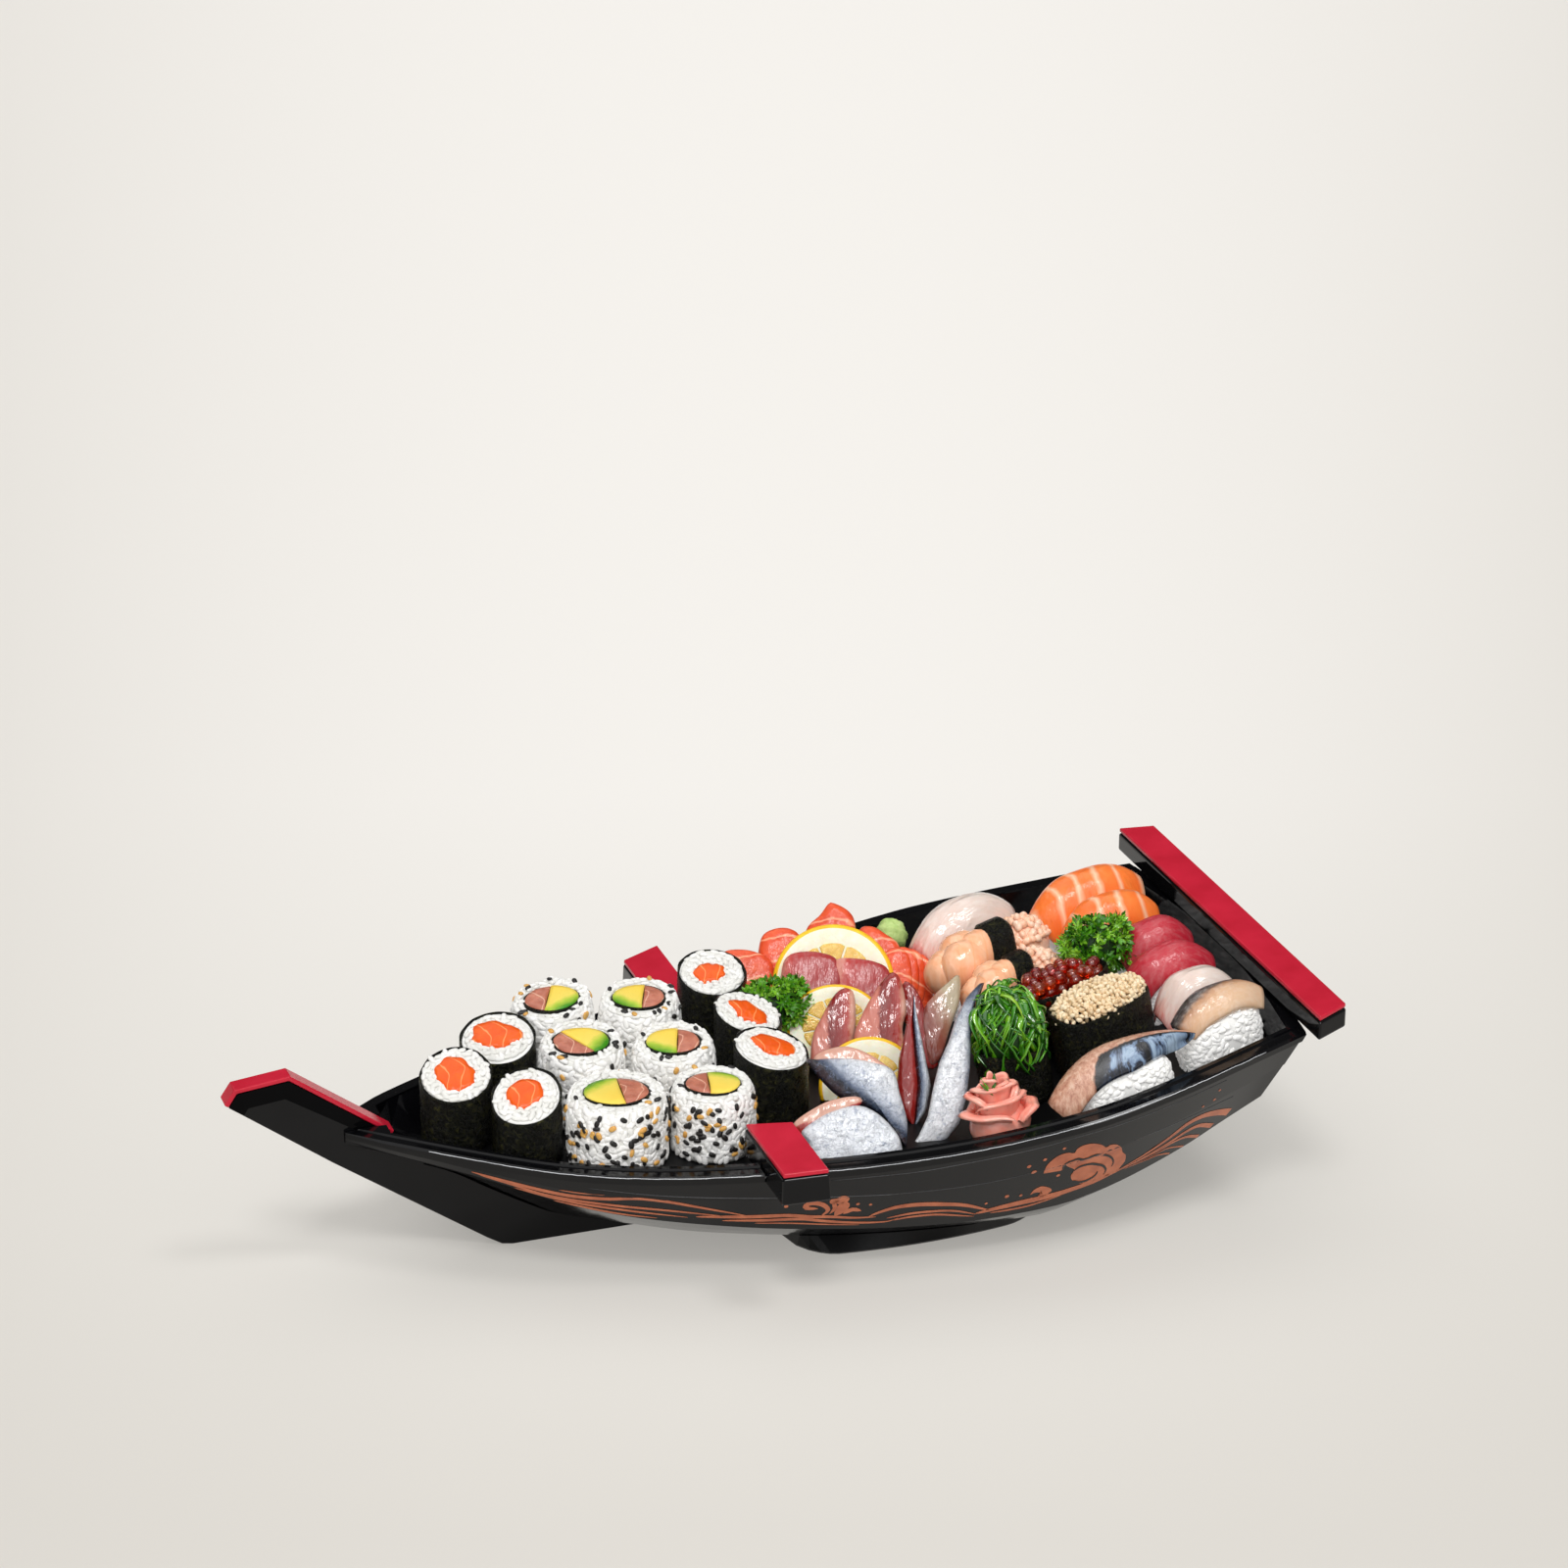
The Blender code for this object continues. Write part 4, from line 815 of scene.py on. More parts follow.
def sesame(solid, roll, radius, side_seeds, top_seeds):
    """Black and golden seeds on the side and the top of a roll."""
    for finish, share in ((SEED_BLACK, 0.68), (SEED_GOLD, 0.32)):
        spots, normals = [], []
        for _ in range(int(side_seeds * share)):
            a = RNG.uniform(0.0, 2 * math.pi)
            level = RNG.uniform(0.1, 0.95)
            r = radius - drawn_in(level, SHOULDER) + 0.75
            x, y = r * math.cos(a), r * math.sin(a)
            spots.append((x, y, roll.top(x, y) * level))
            normals.append((math.cos(a), math.sin(a), 0.05))
        for _ in range(int(top_seeds * share)):
            a = RNG.uniform(0.0, 2 * math.pi)
            r = RNG.uniform(radius - 4.0, radius - SHOULDER)
            x, y = r * math.cos(a), r * math.sin(a)
            spots.append((x, y, roll.top(x, y) + 0.8))
            normals.append(tuple(roll.normal))
        scatter(solid, GRAIN, spots, normals, SEED_SIZE, finish, 0.15)


def rice_roll(node, height, slant, turn, avocado_side, green_side, side_seeds, top_seeds):
    """Inside-out roll: rice outside, seaweed and filling within, sesame on it."""
    roll = Roll(node, height, slant, turn)
    seed = int(node[-1]) + 40
    solid = Solid()
    radius = roll.radius - 0.75
    size = roll.radius * 0.6
    wall(solid, roll, radius, 1.2, RICE, seed, 0.15, 60, SHOULDER)
    disc(solid, roll, round_outline(radius - SHOULDER - 1.2, seed, 0.05), -0.3, 0.0, RICE)
    filling(solid, roll, size, avocado_side, green_side, seed)
    top_grains(solid, roll, size + 1.2, radius - SHOULDER - 0.4, 1.7, 3.1, 0.12)
    side_grains(solid, roll, radius)
    sesame(solid, roll, radius, side_seeds, top_seeds)
    dress(solid, node, node + "_piece", "sushi_rice", roll.place)


def rice_bed(solid, length, width, height):
    """Pressed mound of rice covered with grains."""
    sides = 40
    rows = []
    for scale, share in BED_ROWS:
        row = []
        for a in around(sides):
            x, y = superellipse(a, length / 2 * scale - 0.7, width / 2 * scale - 0.7, BED_POWER)
            row.append((x, y, height * share))
        rows.append(row)
    faces = grid_faces(len(rows), sides, True) + fan(0, sides, len(rows) * sides)
    faces += fan((len(rows) - 1) * sides, sides, len(rows) * sides + 1)
    # The bed takes the brighter rice with its own glow: painted light that lifts its shade
    solid.add(stacked(rows) + [(0.0, 0.0, 0.0), (0.0, 0.0, height)], faces, PRESSED_RICE)
    spots, normals = [], []
    profile = np.array(BED_PROFILE)
    steps = np.linalg.norm(np.diff(profile, axis=0) * np.array([width / 2, height]), axis=1)
    reach = np.concatenate([[0.0], np.cumsum(steps)])
    for s in np.arange(0.0, reach[-1], 1.8):
        scale = np.interp(s, reach, profile[:, 0])
        share = np.interp(s, reach, profile[:, 1])
        count = max(6, int((math.pi * (length + width) / 2 + 8.0) * scale / 3.1))
        for a in (np.arange(count) + RNG.uniform(0, 1)) / count * 2 * math.pi:
            half = length / 2 * scale - 0.8, width / 2 * scale - 0.8
            x, y = superellipse(a + RNG.normal(0.0, 0.03), *half, BED_POWER)
            spots.append((x, y, height * share + RNG.normal(0.0, 0.3)))
            out = np.array([x / length ** 2, y / width ** 2, 0.0])
            out = out / max(np.linalg.norm(out), 1e-6) * (1.0 - share ** 3)
            out[2] = share ** 2
            normals.append(out / np.linalg.norm(out))
    # Grains of the bed also take the brighter, glowing rice: painted light
    scatter(solid, GRAIN, spots, normals, BED_GRAIN, PRESSED_RICE, 0.06)


def drape(solid, length, width, top, end_drops, side_drop, thick, finish, corner=0.16, tints=None, skew=0.0,
          ripple=0.35, seed=0, shift=0.0, taper=0.0):
    """Slice of fish laid over a bed of rice, bent down at its two ends and its sides."""
    rows, columns = 33, 19
    rng = np.random.default_rng(seed + 300)
    phase = rng.uniform(0.0, PHASE, 3)
    upper, lower, flow = [], [], []
    for u in np.linspace(-1.0, 1.0, rows):
        narrow = 1.0 - taper * max(0.0, u) ** 1.6
        end_drop = end_drops[0 if u < 0.0 else 1]
        for v in np.linspace(-1.0, 1.0, columns):
            x = length / 2 * u * (1 - corner * v * v) + shift
            y = width / 2 * v * (1 - corner * u * u) * narrow + skew * u * abs(u)
            z = top - end_drop * abs(u) ** 2.6 - side_drop * abs(v) ** 2.4 * narrow
            z += ripple * (math.sin(3.1 * u + phase[0]) * math.cos(2.2 * v + phase[1])
                           + 0.5 * math.sin(6.3 * u + 2.0 * v + phase[2]))
            body = thick * (1 - 0.75 * abs(u) ** 9) * (1 - 0.75 * abs(v) ** 9)
            upper.append((x, y, z))
            lower.append((x * 0.985, y * 0.985, z - body))
            flow.append((x, y, 0.5 + 0.5 * v if tints is None else tints(u, v)))
    solid.add(np.array(upper + lower), shell_faces(rows, columns), finish, np.array(flow + flow))


# Nigiri: node, x, y, heading, length, width, height, finish, slot
NIGIRI = [
    ("sea_bream_nigiri_1", 115.5, 57.5, 16.0, 51.0, 24.5, 35.5, BREAM, "white_fish"),
    ("salmon_nigiri_1", 168.5, 52.5, 9.0, 53.0, 25.0, 33.5, SALMON, "salmon"),
    ("salmon_nigiri_2", 168.5, 27.0, 6.0, 44.0, 22.5, 33.7, SALMON, "salmon"),
    ("tuna_nigiri_1", 177.2, 2.4, 2.0, 33.5, 21.5, 30.0, TUNA, "tuna"),
    ("tuna_nigiri_2", 174.5, -20.4, 2.0, 38.0, 21.5, 29.5, TUNA, "tuna"),
    ("sea_bream_nigiri_2", 177.4, -43.4, 4.0, 29.0, 20.5, 28.5, BREAM, "white_fish"),
]

# Slices that hang further over the fore end of their rice
FORE_ENDS = {"sea_bream_nigiri_2": 6.0, "tuna_nigiri_2": 2.0}


def nigiri(node, x, y, heading, length, width, height, finish, slot):
    """Slice of fish over a bed of rice."""
    solid = Solid()
    rice_bed(solid, length * 0.93, width * 0.9, height * 0.72)
    drop = height * 0.36
    longer = FORE_ENDS.get(node, 0.0)
    drape(solid, length + longer, width, height, (drop + 0.6 * longer, drop), height * 0.3, height * 0.22,
          finish, tints=lambda u, v: 0.5 + 0.5 * u, seed=len(node) + int(x), shift=-longer / 2)
    dress(solid, node, node + "_piece", slot, on_deck(x, y, heading))


# Shrimp nigiri: node, x, y, heading, length, width, height
SHRIMP_NIGIRI = [
    ("shrimp_nigiri_1", 117.0, 29.0, 11.0, 52.0, 22.5, 35.5),
    ("shrimp_nigiri_2", 118.2, 6.5, 11.0, 42.0, 18.5, 31.0),
]

# Plump pieces of shrimp at the fore end: place along and across the nigiri, and size
SHRIMP_FOLDS = [(-0.5, 0.28, 1.15), (-0.62, -0.3, 1.2), (-0.9, 0.1, 1.05), (-0.28, -0.12, 1.1)]


def nori_band(solid, length, width, height):
    """Band of seaweed bent over a nigiri, turned in at its two edges."""
    steps = 28
    rows = []
    for at in BAND_ROWS:
        inside = 0.9 if at in (BAND_ROWS[0], BAND_ROWS[-1]) else 0.0
        row = []
        for a in np.linspace(-0.2 * math.pi, 1.2 * math.pi, steps):
            y, z = superellipse(a, width / 2 + 0.2 - inside, height * 0.56 - inside, 2.5)
            row.append((at * length + 0.12 * y + 0.5 * math.sin(4 * a), y, height * 0.45 + z))
        rows.append(row)
    solid.add(stacked(rows), grid_faces(len(rows), steps), NORI)


def shrimp_nigiri(node, x, y, heading, length, width, height):
    """Rice under plump shrimp, a band of seaweed and chopped shrimp behind it."""
    solid = Solid()
    rice_bed(solid, length * 0.9, width * 0.9, height * 0.6)
    bed = height * 0.56
    rise = height - bed
    for u, v, grow in SHRIMP_FOLDS:
        points, faces = ball(18, 26)
        lump = points * np.array([length * 0.19, width * 0.36, rise * 0.62]) * grow
        fold = 1.0 + 0.025 * np.sin(points[:, 0] * 9.0 + points[:, 1] * 3.0 + u * 5.0)
        lump = lump * fold[:, None]
        lump += np.array([u * length * 0.42, v * width * 0.5, bed + rise * (0.36 - 0.3 * u * u)])
        solid.add(lump, faces, SHRIMP)
    core = ball(10, 16)
    blob(solid, core, (length * 0.42, width * 0.44, rise * 0.8), (0.0, 0.0, bed), SHRIMP)
    blob(solid, core, (length * 0.25, width * 0.47, rise * 0.72), (length * 0.28, 0.0, bed), CHOPPED)
    spots, normals = heap_spots(length * 0.48, width * 0.98, bed + rise * 0.2, rise * 0.62, 2.6)
    spots[:, 0] += length * 0.29
    scatter(solid, LUMP, spots, normals, (2.1, 1.8, 1.5), CHOPPED, 0.5)
    nori_band(solid, length, width, height)
    dress(solid, node, node + "_piece", "shrimp", on_deck(x, y, heading))


def oval_wall(solid, length, width, height, power, seed):
    """Band of seaweed standing round a gunkan."""
    sides = 72
    ripple = wobble(seed, sides, 0.18)
    rows = []
    for inset, share in BAND_WALL:
        row = []
        for j, a in enumerate(around(sides)):
            x, y = superellipse(a, length / 2 - inset + ripple[j], width / 2 - inset + ripple[j], power)
            row.append((x, y, height * share * (1 + 0.02 * math.sin(3 * a + seed))))
        rows.append(row)
    faces = grid_faces(len(rows), sides, True) + fan(0, sides, len(rows) * sides)
    faces += fan((len(rows) - 1) * sides, sides, len(rows) * sides + 1)
    solid.add(stacked(rows) + [(0.0, 0.0, 0.0), (0.0, 0.0, height * 0.82)], faces, NORI)


def heap_spots(length, width, base, rise, step):
    """Spots over a domed oval heap."""
    spots, normals = [], []
    for y in np.arange(-width / 2, width / 2 + 0.01, step * 0.86):
        for x in np.arange(-length / 2, length / 2 + 0.01, step):
            px = x + RNG.normal(0.0, 0.18 * step)
            py = y + RNG.normal(0.0, 0.18 * step)
            q = (2 * px / length) ** 2 + (2 * py / width) ** 2
            if q < 1.0:
                spots.append((px, py, base + rise * (1 - q) + RNG.normal(0.0, 0.12 * step)))
                normals.append((px / length, py / width, 0.6))
    return np.array(spots), np.array(normals)


def roe_gunkan():
    """Heap of roe in a band of seaweed."""
    length, width, height = 45.0, 20.5, 32.5
    solid = Solid()
    oval_wall(solid, length, width, height * 0.8, 2.8, 3)
    for base, rise, share in ((height * 0.72, 2.0, 0.92), (height * 0.79, 4.4, 0.88)):
        spots, normals = heap_spots(length * share, width * share, base, rise, 4.7)
        scatter(solid, PEARL, spots, normals, (ROE_RADIUS,) * 3, ROE, 0.4)
    dress(solid, "salmon_roe_gunkan", "salmon_roe_gunkan_piece", "roe", on_deck(129.5, -14.0, 11.0))


def crumb_gunkan():
    """Heap of crumbs in a band of seaweed."""
    length, width, height = 42.5, 26.0, 33.5
    solid = Solid()
    oval_wall(solid, length, width, height * 0.8, 2.8, 5)
    for base, rise, step in ((height * 0.74, 3.0, 2.4), (height * 0.8, 5.0, 1.8), (height * 0.84, 4.6, 2.2)):
        spots, normals = heap_spots(length * 0.98, width * 0.98, base, rise, step)
        scatter(solid, LUMP, spots, normals, (1.35, 0.95, 0.85), CRUMB, 0.9)
    dress(solid, "crumb_gunkan", "crumb_gunkan_piece", "crumb", on_deck(136.4, -40.6, 12.0))


def tube(solid, path, radii, finish, sides=6, flat=1.0):
    """Strand along a path, with a radius at each point; flat squeezes it sideways."""
    path = np.asarray(path, float)
    tangent = np.gradient(path, axis=0)
    tangent /= np.linalg.norm(tangent, axis=1, keepdims=True)
    side = np.cross(tangent, NEAR_UP)
    side /= np.linalg.norm(side, axis=1, keepdims=True)
    over = np.cross(side, tangent)
    points = []
    for i, spot in enumerate(path):
        for j in range(sides):
            a = 2 * math.pi * j / sides
            points.append(spot + side[i] * math.cos(a) * radii[i] + over[i] * math.sin(a) * radii[i] * flat)
    faces = grid_faces(len(path), sides, True) + fan(0, sides, len(points))
    faces += fan((len(path) - 1) * sides, sides, len(points) + 1)
    solid.add(points + [path[0], path[-1]], faces, finish)


def strand(size, height, k):
    """Path of one strand of seaweed, from near the crest of the heap out over its edge."""
    heading = RNG.uniform(0.0, 2 * math.pi)
    swirl = RNG.uniform(-2.2, 2.2)
    start = RNG.uniform(-0.5, 0.6)
    stop = RNG.uniform(0.8, 1.1) if k % 3 else RNG.uniform(1.15, 1.45)
    layer = RNG.uniform(0.86, 1.0)
    phase, curl = RNG.uniform(0.0, PHASE), RNG.uniform(0.05, 0.3)
    path = []
    for t in np.linspace(start, stop, STRAND_STEPS):
        reach = min(abs(t), 1.0)
        a = heading + swirl * t + curl * math.sin(7.0 * t + phase) + (math.pi if t < 0 else 0.0)
        depth = layer + 0.04 * math.sin(9.0 * t + 2.0 * phase)
        across = size / 2 * math.sin(reach * math.pi / 2) ** 0.9 * depth
        dome = WEED_SHOULDER + (WEED_CREST - WEED_SHOULDER) * math.cos(reach * math.pi / 2) ** 0.8
        z = height * dome * depth
        path.append((across * math.cos(a), across * math.sin(a), z - 26.0 * max(0.0, t - 1.0)))
    return path


def seaweed_gunkan():
    """Tangled heap of green strands that hangs over a band of seaweed."""
    size, height = 30.5, 46.0
    solid = Solid()
    oval_wall(solid, size - 2.5, size - 2.5, height * 0.52, 2.4, 9)
    # Dark green ball inside the heap: painted shade showing between the strands
    blob(solid, on_end(ball(10, 18)), (13.0, 13.0, 16.0), (0.0, 0.0, height * 0.6), LEAF_SHADE)
    for k in range(150):
        path = strand(size, height, k)
        radius = RNG.uniform(0.7, 1.7)
        tube(solid, path, radius * np.sin(np.linspace(0.4, 2.8, STRAND_STEPS)) ** 0.5, WEED, 8, 0.4)
    for k in range(7):
        a, lean = RNG.uniform(0.0, PHASE), RNG.uniform(3.0, 7.0)
        foot = RNG.normal(0.0, 3.0, 2)
        path = [(foot[0] + lean * t * math.cos(a + t), foot[1] + lean * t * math.sin(a + t),
                 height * 0.96 + 5.0 * math.sin(2.4 * t)) for t in np.linspace(0.0, 1.2, STRAND_STEPS)]
        tube(solid, path, 0.55 * np.sin(np.linspace(0.6, 2.9, STRAND_STEPS)) ** 0.5, WEED, 6, 0.7)
    dress(solid, "seaweed_gunkan", "seaweed_gunkan_piece", "seaweed", on_deck(96.4, -45.0))


def sheet(solid, length, left, right, thick, finish, tints, curl=0.0, rows=30, columns=15, ripple=0.3, seed=0,
          twist=0.0):
    """Cut of fish between a left and a right edge, each given by places along its length."""
    rng = np.random.default_rng(seed + 500)
    phase = rng.uniform(0.0, PHASE, 2)
    upper, lower, flow = [], [], []
    for t in np.linspace(0.0, 1.0, rows):
        lx = np.interp(t, *zip(*left))
        rx = np.interp(t, *zip(*right))
        y = (t - 0.5) * length
        end = min(1.0, 6.0 * min(t, 1 - t) + 0.25)
        for s in np.linspace(0.0, 1.0, columns):
            x = lx + (rx - lx) * s
            v = 2 * s - 1
            body = thick * (1 - 0.82 * abs(v) ** 5) * end
            z = curl * (2 * t - 1) ** 2 + twist * (2 * t - 1) * v
            z += ripple * math.sin(4.0 * t + 2.0 * s + phase[0]) * math.cos(3.0 * s + phase[1])
            upper.append((x, y, z + body / 2))
            lower.append((x, y, z - body / 2))
            flow.append((y, x, tints(t, s)))
    solid.add(np.array(upper + lower), shell_faces(rows, columns), finish, np.array(flow + flow))


def bend(before, first, last, after, step):
    """Points of a smooth curve from a first to a last place, led by the places before and after."""
    count = max(2, int(np.linalg.norm(last - first) / step))
    return [0.5 * (2 * first + (last - before) * t + (2 * before - 5 * first + 4 * last - after) * t * t
                   + (3 * first - before - 3 * last + after) * t ** 3) for t in np.arange(count) / count]


def rounded_loop(outline):
    """Smooth closed line through the corners of an outline."""
    corners = np.asarray(outline, float)
    line = []
    for i in range(len(corners)):
        line += bend(*(corners[(i + k) % len(corners)] for k in (-1, 0, 1, 2)), CURVE_STEP)
    return np.array(line)


def slab(solid, outline, thick, crown, finish, tint, lift=0.0):
    """Soft cut with a rounded edge, filled in from its outline to its middle."""
    line = rounded_loop(outline)
    count = len(line)
    middle = line.mean(axis=0)
    points, flow = [], []
    for side in (1.0, -1.0):
        for share, rise in SLAB_PROFILE if side > 0 else SLAB_PROFILE[1:]:
            for x, y in middle + (line - middle) * share:
                wave = 0.25 * math.sin(0.4 * x + 0.9) * math.cos(0.33 * y + lift)
                points.append((x, y, lift + side * thick / 2 * rise + crown * (1 - share ** 2) + wave))
                flow.append((y, x, tint(x, y)))
    rows = len(SLAB_PROFILE)
    faces = grid_faces(rows, count, True)
    start, below = (rows - 1) * count, rows * count
    for j in range(count):
        k = (j + 1) % count
        faces.append((j, below + j, below + k, k))
    for i in range(rows - 2):
        ring = below + i * count
        for j in range(count):
            k = (j + 1) % count
            faces.append((ring + j, ring + count + j, ring + count + k, ring + k))
    top, bottom = len(points), len(points) + 1
    points += [(*middle, lift + thick / 2 + crown), (*middle, lift - thick / 2 + crown)]
    flow += [(middle[1], middle[0], tint(*middle))] * 2
    last = below + (rows - 2) * count
    for j in range(count):
        k = (j + 1) % count
        faces.append((start + j, start + k, top))
        faces.append((last + k, last + j, bottom))
    solid.add(points, faces, finish, flow)


def slice_place(node):
    """Frame of a leaning slice: across, up the slope and out of its face, at the middle of its solid."""
    ca, sa = math.cos(VIEW_TURN), math.sin(VIEW_TURN)
    cl, sl = math.cos(SLICE_LEAN), math.sin(SLICE_LEAN)
    out = Vector((-cl * sa, -cl * ca, sl))
    up = Vector((sl * sa, sl * ca, cl))
    across = up.cross(out)
    low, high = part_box(node)
    place = Matrix((across, up, out)).transposed().to_4x4()
    place.translation = (low + high) / 2
    return place


SASHIMI = "sashimi_arrangement"

# Cuts with a rounded outline: node, outline across and up its face, thickness, crown, finish, slot
CUTS = [
    ("salmon_slice_1", [(-15, 8), (-14.5, 16), (-9, 18), (-1, 17), (6, 12.5), (8, 0), (8, -15), (-10, -15)],
     6.0, 1.5, SALMON_CUT, "salmon"),
    ("salmon_slice_2", [(-10, 4), (-9.6, 12), (-7.6, 17), (-2.3, 19.4), (3.6, 19), (7.5, 15), (9, 0),
                        (8, -18), (-9, -18)], 6.0, 2.0, SALMON_CUT, "salmon"),
    ("salmon_slice_3", [(-11, 0), (-9, 12), (-3.4, 18), (0, 22.6), (2.4, 23), (8.8, 19.4), (11.4, 13),
                        (12, -5), (10, -20), (-10, -20)], 6.0, 1.5, SALMON_CUT, "salmon"),
    ("salmon_slice_4", [(-9, 8), (-7.6, 20), (-2.3, 21.4), (2.6, 18.7), (9, 13), (10, 0), (8, -18),
                        (-8, -18)], 6.0, 1.5, SALMON_CUT, "salmon"),
    ("tuna_slice_1", [(-13.5, 2), (-12.9, 15), (-10.4, 20), (-5, 21.8), (3, 21.4), (9.6, 18.4), (12.2, 9),
                      (11.4, -15), (-12, -15)], 5.4, 1.0, TUNA_CUT, "tuna"),
    ("tuna_slice_2", [(-15, 6), (-15, 17.6), (-12.6, 20), (-6, 20), (1.4, 18.6), (7.2, 15), (8.6, 4),
                      (8, -14), (-12, -14)], 5.4, 1.0, TUNA_CUT, "tuna"),
    ("horse_mackerel_slice_1", [(-10.5, -8), (-9.3, 0), (-6.4, 6), (-1.5, 14.8), (2, 18), (4.6, 18.4),
                                (7.2, 15.6), (7.8, 4), (6.4, -5), (4, -15), (-9, -15)],
     4.8, 0.8, RED_FISH, "red_fish"),
    ("horse_mackerel_slice_2", [(-13.6, -3), (-10.2, 6.5), (-5.3, 15.5), (-0.4, 22), (2.5, 23.6),
                                (5.5, 20), (7.6, 8.5), (6, 1), (6, -16), (-12, -16)],
     4.8, 0.8, RED_FISH, "red_fish"),
]

BACK_CUT = [(-17, 16), (-13, 15.5), (-9, 8), (-6, -6), (-3, -17), (-8, -18), (-12, -8), (-17, 3)]
LEAF_CUT = [(-6, -17.5), (-8.6, -9), (-9, 4), (-4.7, 11), (1.2, 16.5), (5.2, 19.6), (6.4, 16), (5.6, 8),
            (2.2, -2), (-1.8, -14)]
FAN_CUT = [(-5, -7), (-4.5, 8), (-2.5, 13), (2, 15.5), (7, 13), (9, 5), (8, -6), (2, -13)]


def lean_on_fan(solid, node, slot):
    """Finish a piece that leans in the fan of sashimi."""
    dress(solid, node, SASHIMI, slot, slice_place(node))


def cuts():
    """Salmon, tuna and horse mackerel cut across, standing in a fan."""
    tints = {"tuna": lambda x, y: 0.5 + (x - 1.0) / 28.0}
    for node, outline, thick, crown, finish, slot in CUTS:
        solid = Solid()
        slab(solid, outline, thick, crown, finish, tints.get(slot, lambda x, y: 0.5 + (x - 3.6) / 16.0))
        lean_on_fan(solid, node, slot)
    solid = Solid()
    for k in range(4):
        step = np.array([2.9 * k, 2.4 - 1.6 * (k - 1.0) ** 2 / 3.0])
        slab(solid, np.array(FAN_CUT) + step + np.array([-2.0, 0.0]), 4.0, 0.8, SALMON_CUT,
             lambda x, y: 0.5, lift=1.6 - 1.3 * k)
    lean_on_fan(solid, "salmon_slice_5", "salmon")
    solid = Solid()
    slab(solid, LEAF_CUT, 4.6, 0.8, BROWN_FISH, lambda x, y: 0.2 + 0.008 * (x + 9.0) * (y + 18.0) / 3.0)
    slab(solid, BACK_CUT, 4.0, 0.6, RED_FISH, lambda x, y: 0.3, lift=-0.5)
    lean_on_fan(solid, "horse_mackerel_slice_3", "red_fish")


# Fillets of horse mackerel, as outlines or edges across and up their faces
SPINDLE_LEFT = [(0.0, 1.6), (0.1, -2.4), (0.28, -4.7), (0.52, -3.6), (0.8, -0.2), (1.0, 2.2)]
SPINDLE_LINE = [(0.0, 2.2), (0.1, 2.9), (0.32, 4.0), (0.52, 3.0), (0.8, 1.9), (1.0, 2.4)]
SPINDLE_RIGHT = [(0.0, 2.8), (0.12, 7.2), (0.32, 9.0), (0.6, 6.2), (0.84, 3.8), (1.0, 2.6)]
FAN_SKIN = [(-18.4, 16), (-15, 16.4), (-4, 17), (7, 15.5), (15.5, 12), (18.3, 2.5), (21, -8),
            (20.6, -17.5), (19.6, -17), (16.8, -12.8), (9.5, -5), (-4.2, 0.8), (-12, 7.6)]
FAN_EDGE = [(-15.5, 16), (-13, 19.4), (-4.2, 21.8), (4, 19.8), (10.5, 16), (14, 12), (0, 10), (-12, 12)]
LOW_SKIN = [(-17, 3.3), (-9, 9.3), (2.7, 13.3), (10.6, 11.3), (17.5, 5.3), (21.5, -2), (20, -13),
            (-10, -13), (-15, -1)]
LOW_EDGE = [(-20, 6.5), (-8, 14.5), (4, 17), (6, 14), (-4, 9), (-16, 1.5)]
STRIP_LEFT = [(0.0, -9.0), (0.09, -5.4), (0.2, -2.0), (0.39, 0.5), (0.53, 2.9), (0.65, 6.4), (0.79, 9.3),
              (0.92, 13.6), (1.0, 18.6)]
STRIP_RIGHT = [(0.0, 0.5), (0.03, 3.4), (0.16, 10.3), (0.31, 13.2), (0.48, 14.7), (0.68, 15.2),
               (0.85, 17.2), (1.0, 20.6)]
STRIP_LENGTH = 66.0
SPINDLE_LENGTH = 52.0


def strip_tint(t, s):
    """Skin of the long fillet, dark at its tip and along its right edge."""
    tip = 0.75 * max(0.0, t - 0.62) / 0.38
    return 0.9 - tip - 1.6 * max(0.0, s - 0.68) * (0.45 + t)


def fillets():
    """Fillets of horse mackerel with their silver skin."""
    solid = Solid()
    sheet(solid, SPINDLE_LENGTH, SPINDLE_LEFT, SPINDLE_LINE, 5.0, RED_FISH, lambda t, s: 0.16 + 0.3 * s, 0.4,
          seed=31)
    sheet(solid, SPINDLE_LENGTH, SPINDLE_LINE, SPINDLE_RIGHT, 4.6, SILVER,
          lambda t, s: 0.1 + 0.75 * s ** 1.5, 0.4, seed=31)
    lean_on_fan(solid, "horse_mackerel_fillet_1", "red_fish")
    solid = Solid()
    slab(solid, FAN_SKIN, 5.0, 2.0, SILVER, lambda x, y: 0.1 + 0.065 * max(0.0, 0.66 * x + 0.75 * y - 1.4))
    slab(solid, FAN_EDGE, 3.6, 0.6, RED_FISH, lambda x, y: 0.7, lift=-1.2)
    lean_on_fan(solid, "horse_mackerel_fillet_2", "silver_fish")
    solid = Solid()
    sheet(solid, STRIP_LENGTH, STRIP_LEFT, STRIP_RIGHT, 4.6, SILVER, strip_tint, 0.8, seed=33, twist=1.0,
          rows=44)
    lean_on_fan(solid, "horse_mackerel_fillet_3", "silver_fish")
    solid = Solid()
    slab(solid, LOW_SKIN, 4.8, 1.2, SILVER, lambda x, y: 0.8)
    slab(solid, LOW_EDGE, 3.4, 0.5, RED_FISH, lambda x, y: 0.72 if y - 0.4 * x > 12.2 else 0.4, lift=-1.0)
    lean_on_fan(solid, "horse_mackerel_fillet_4", "silver_fish")


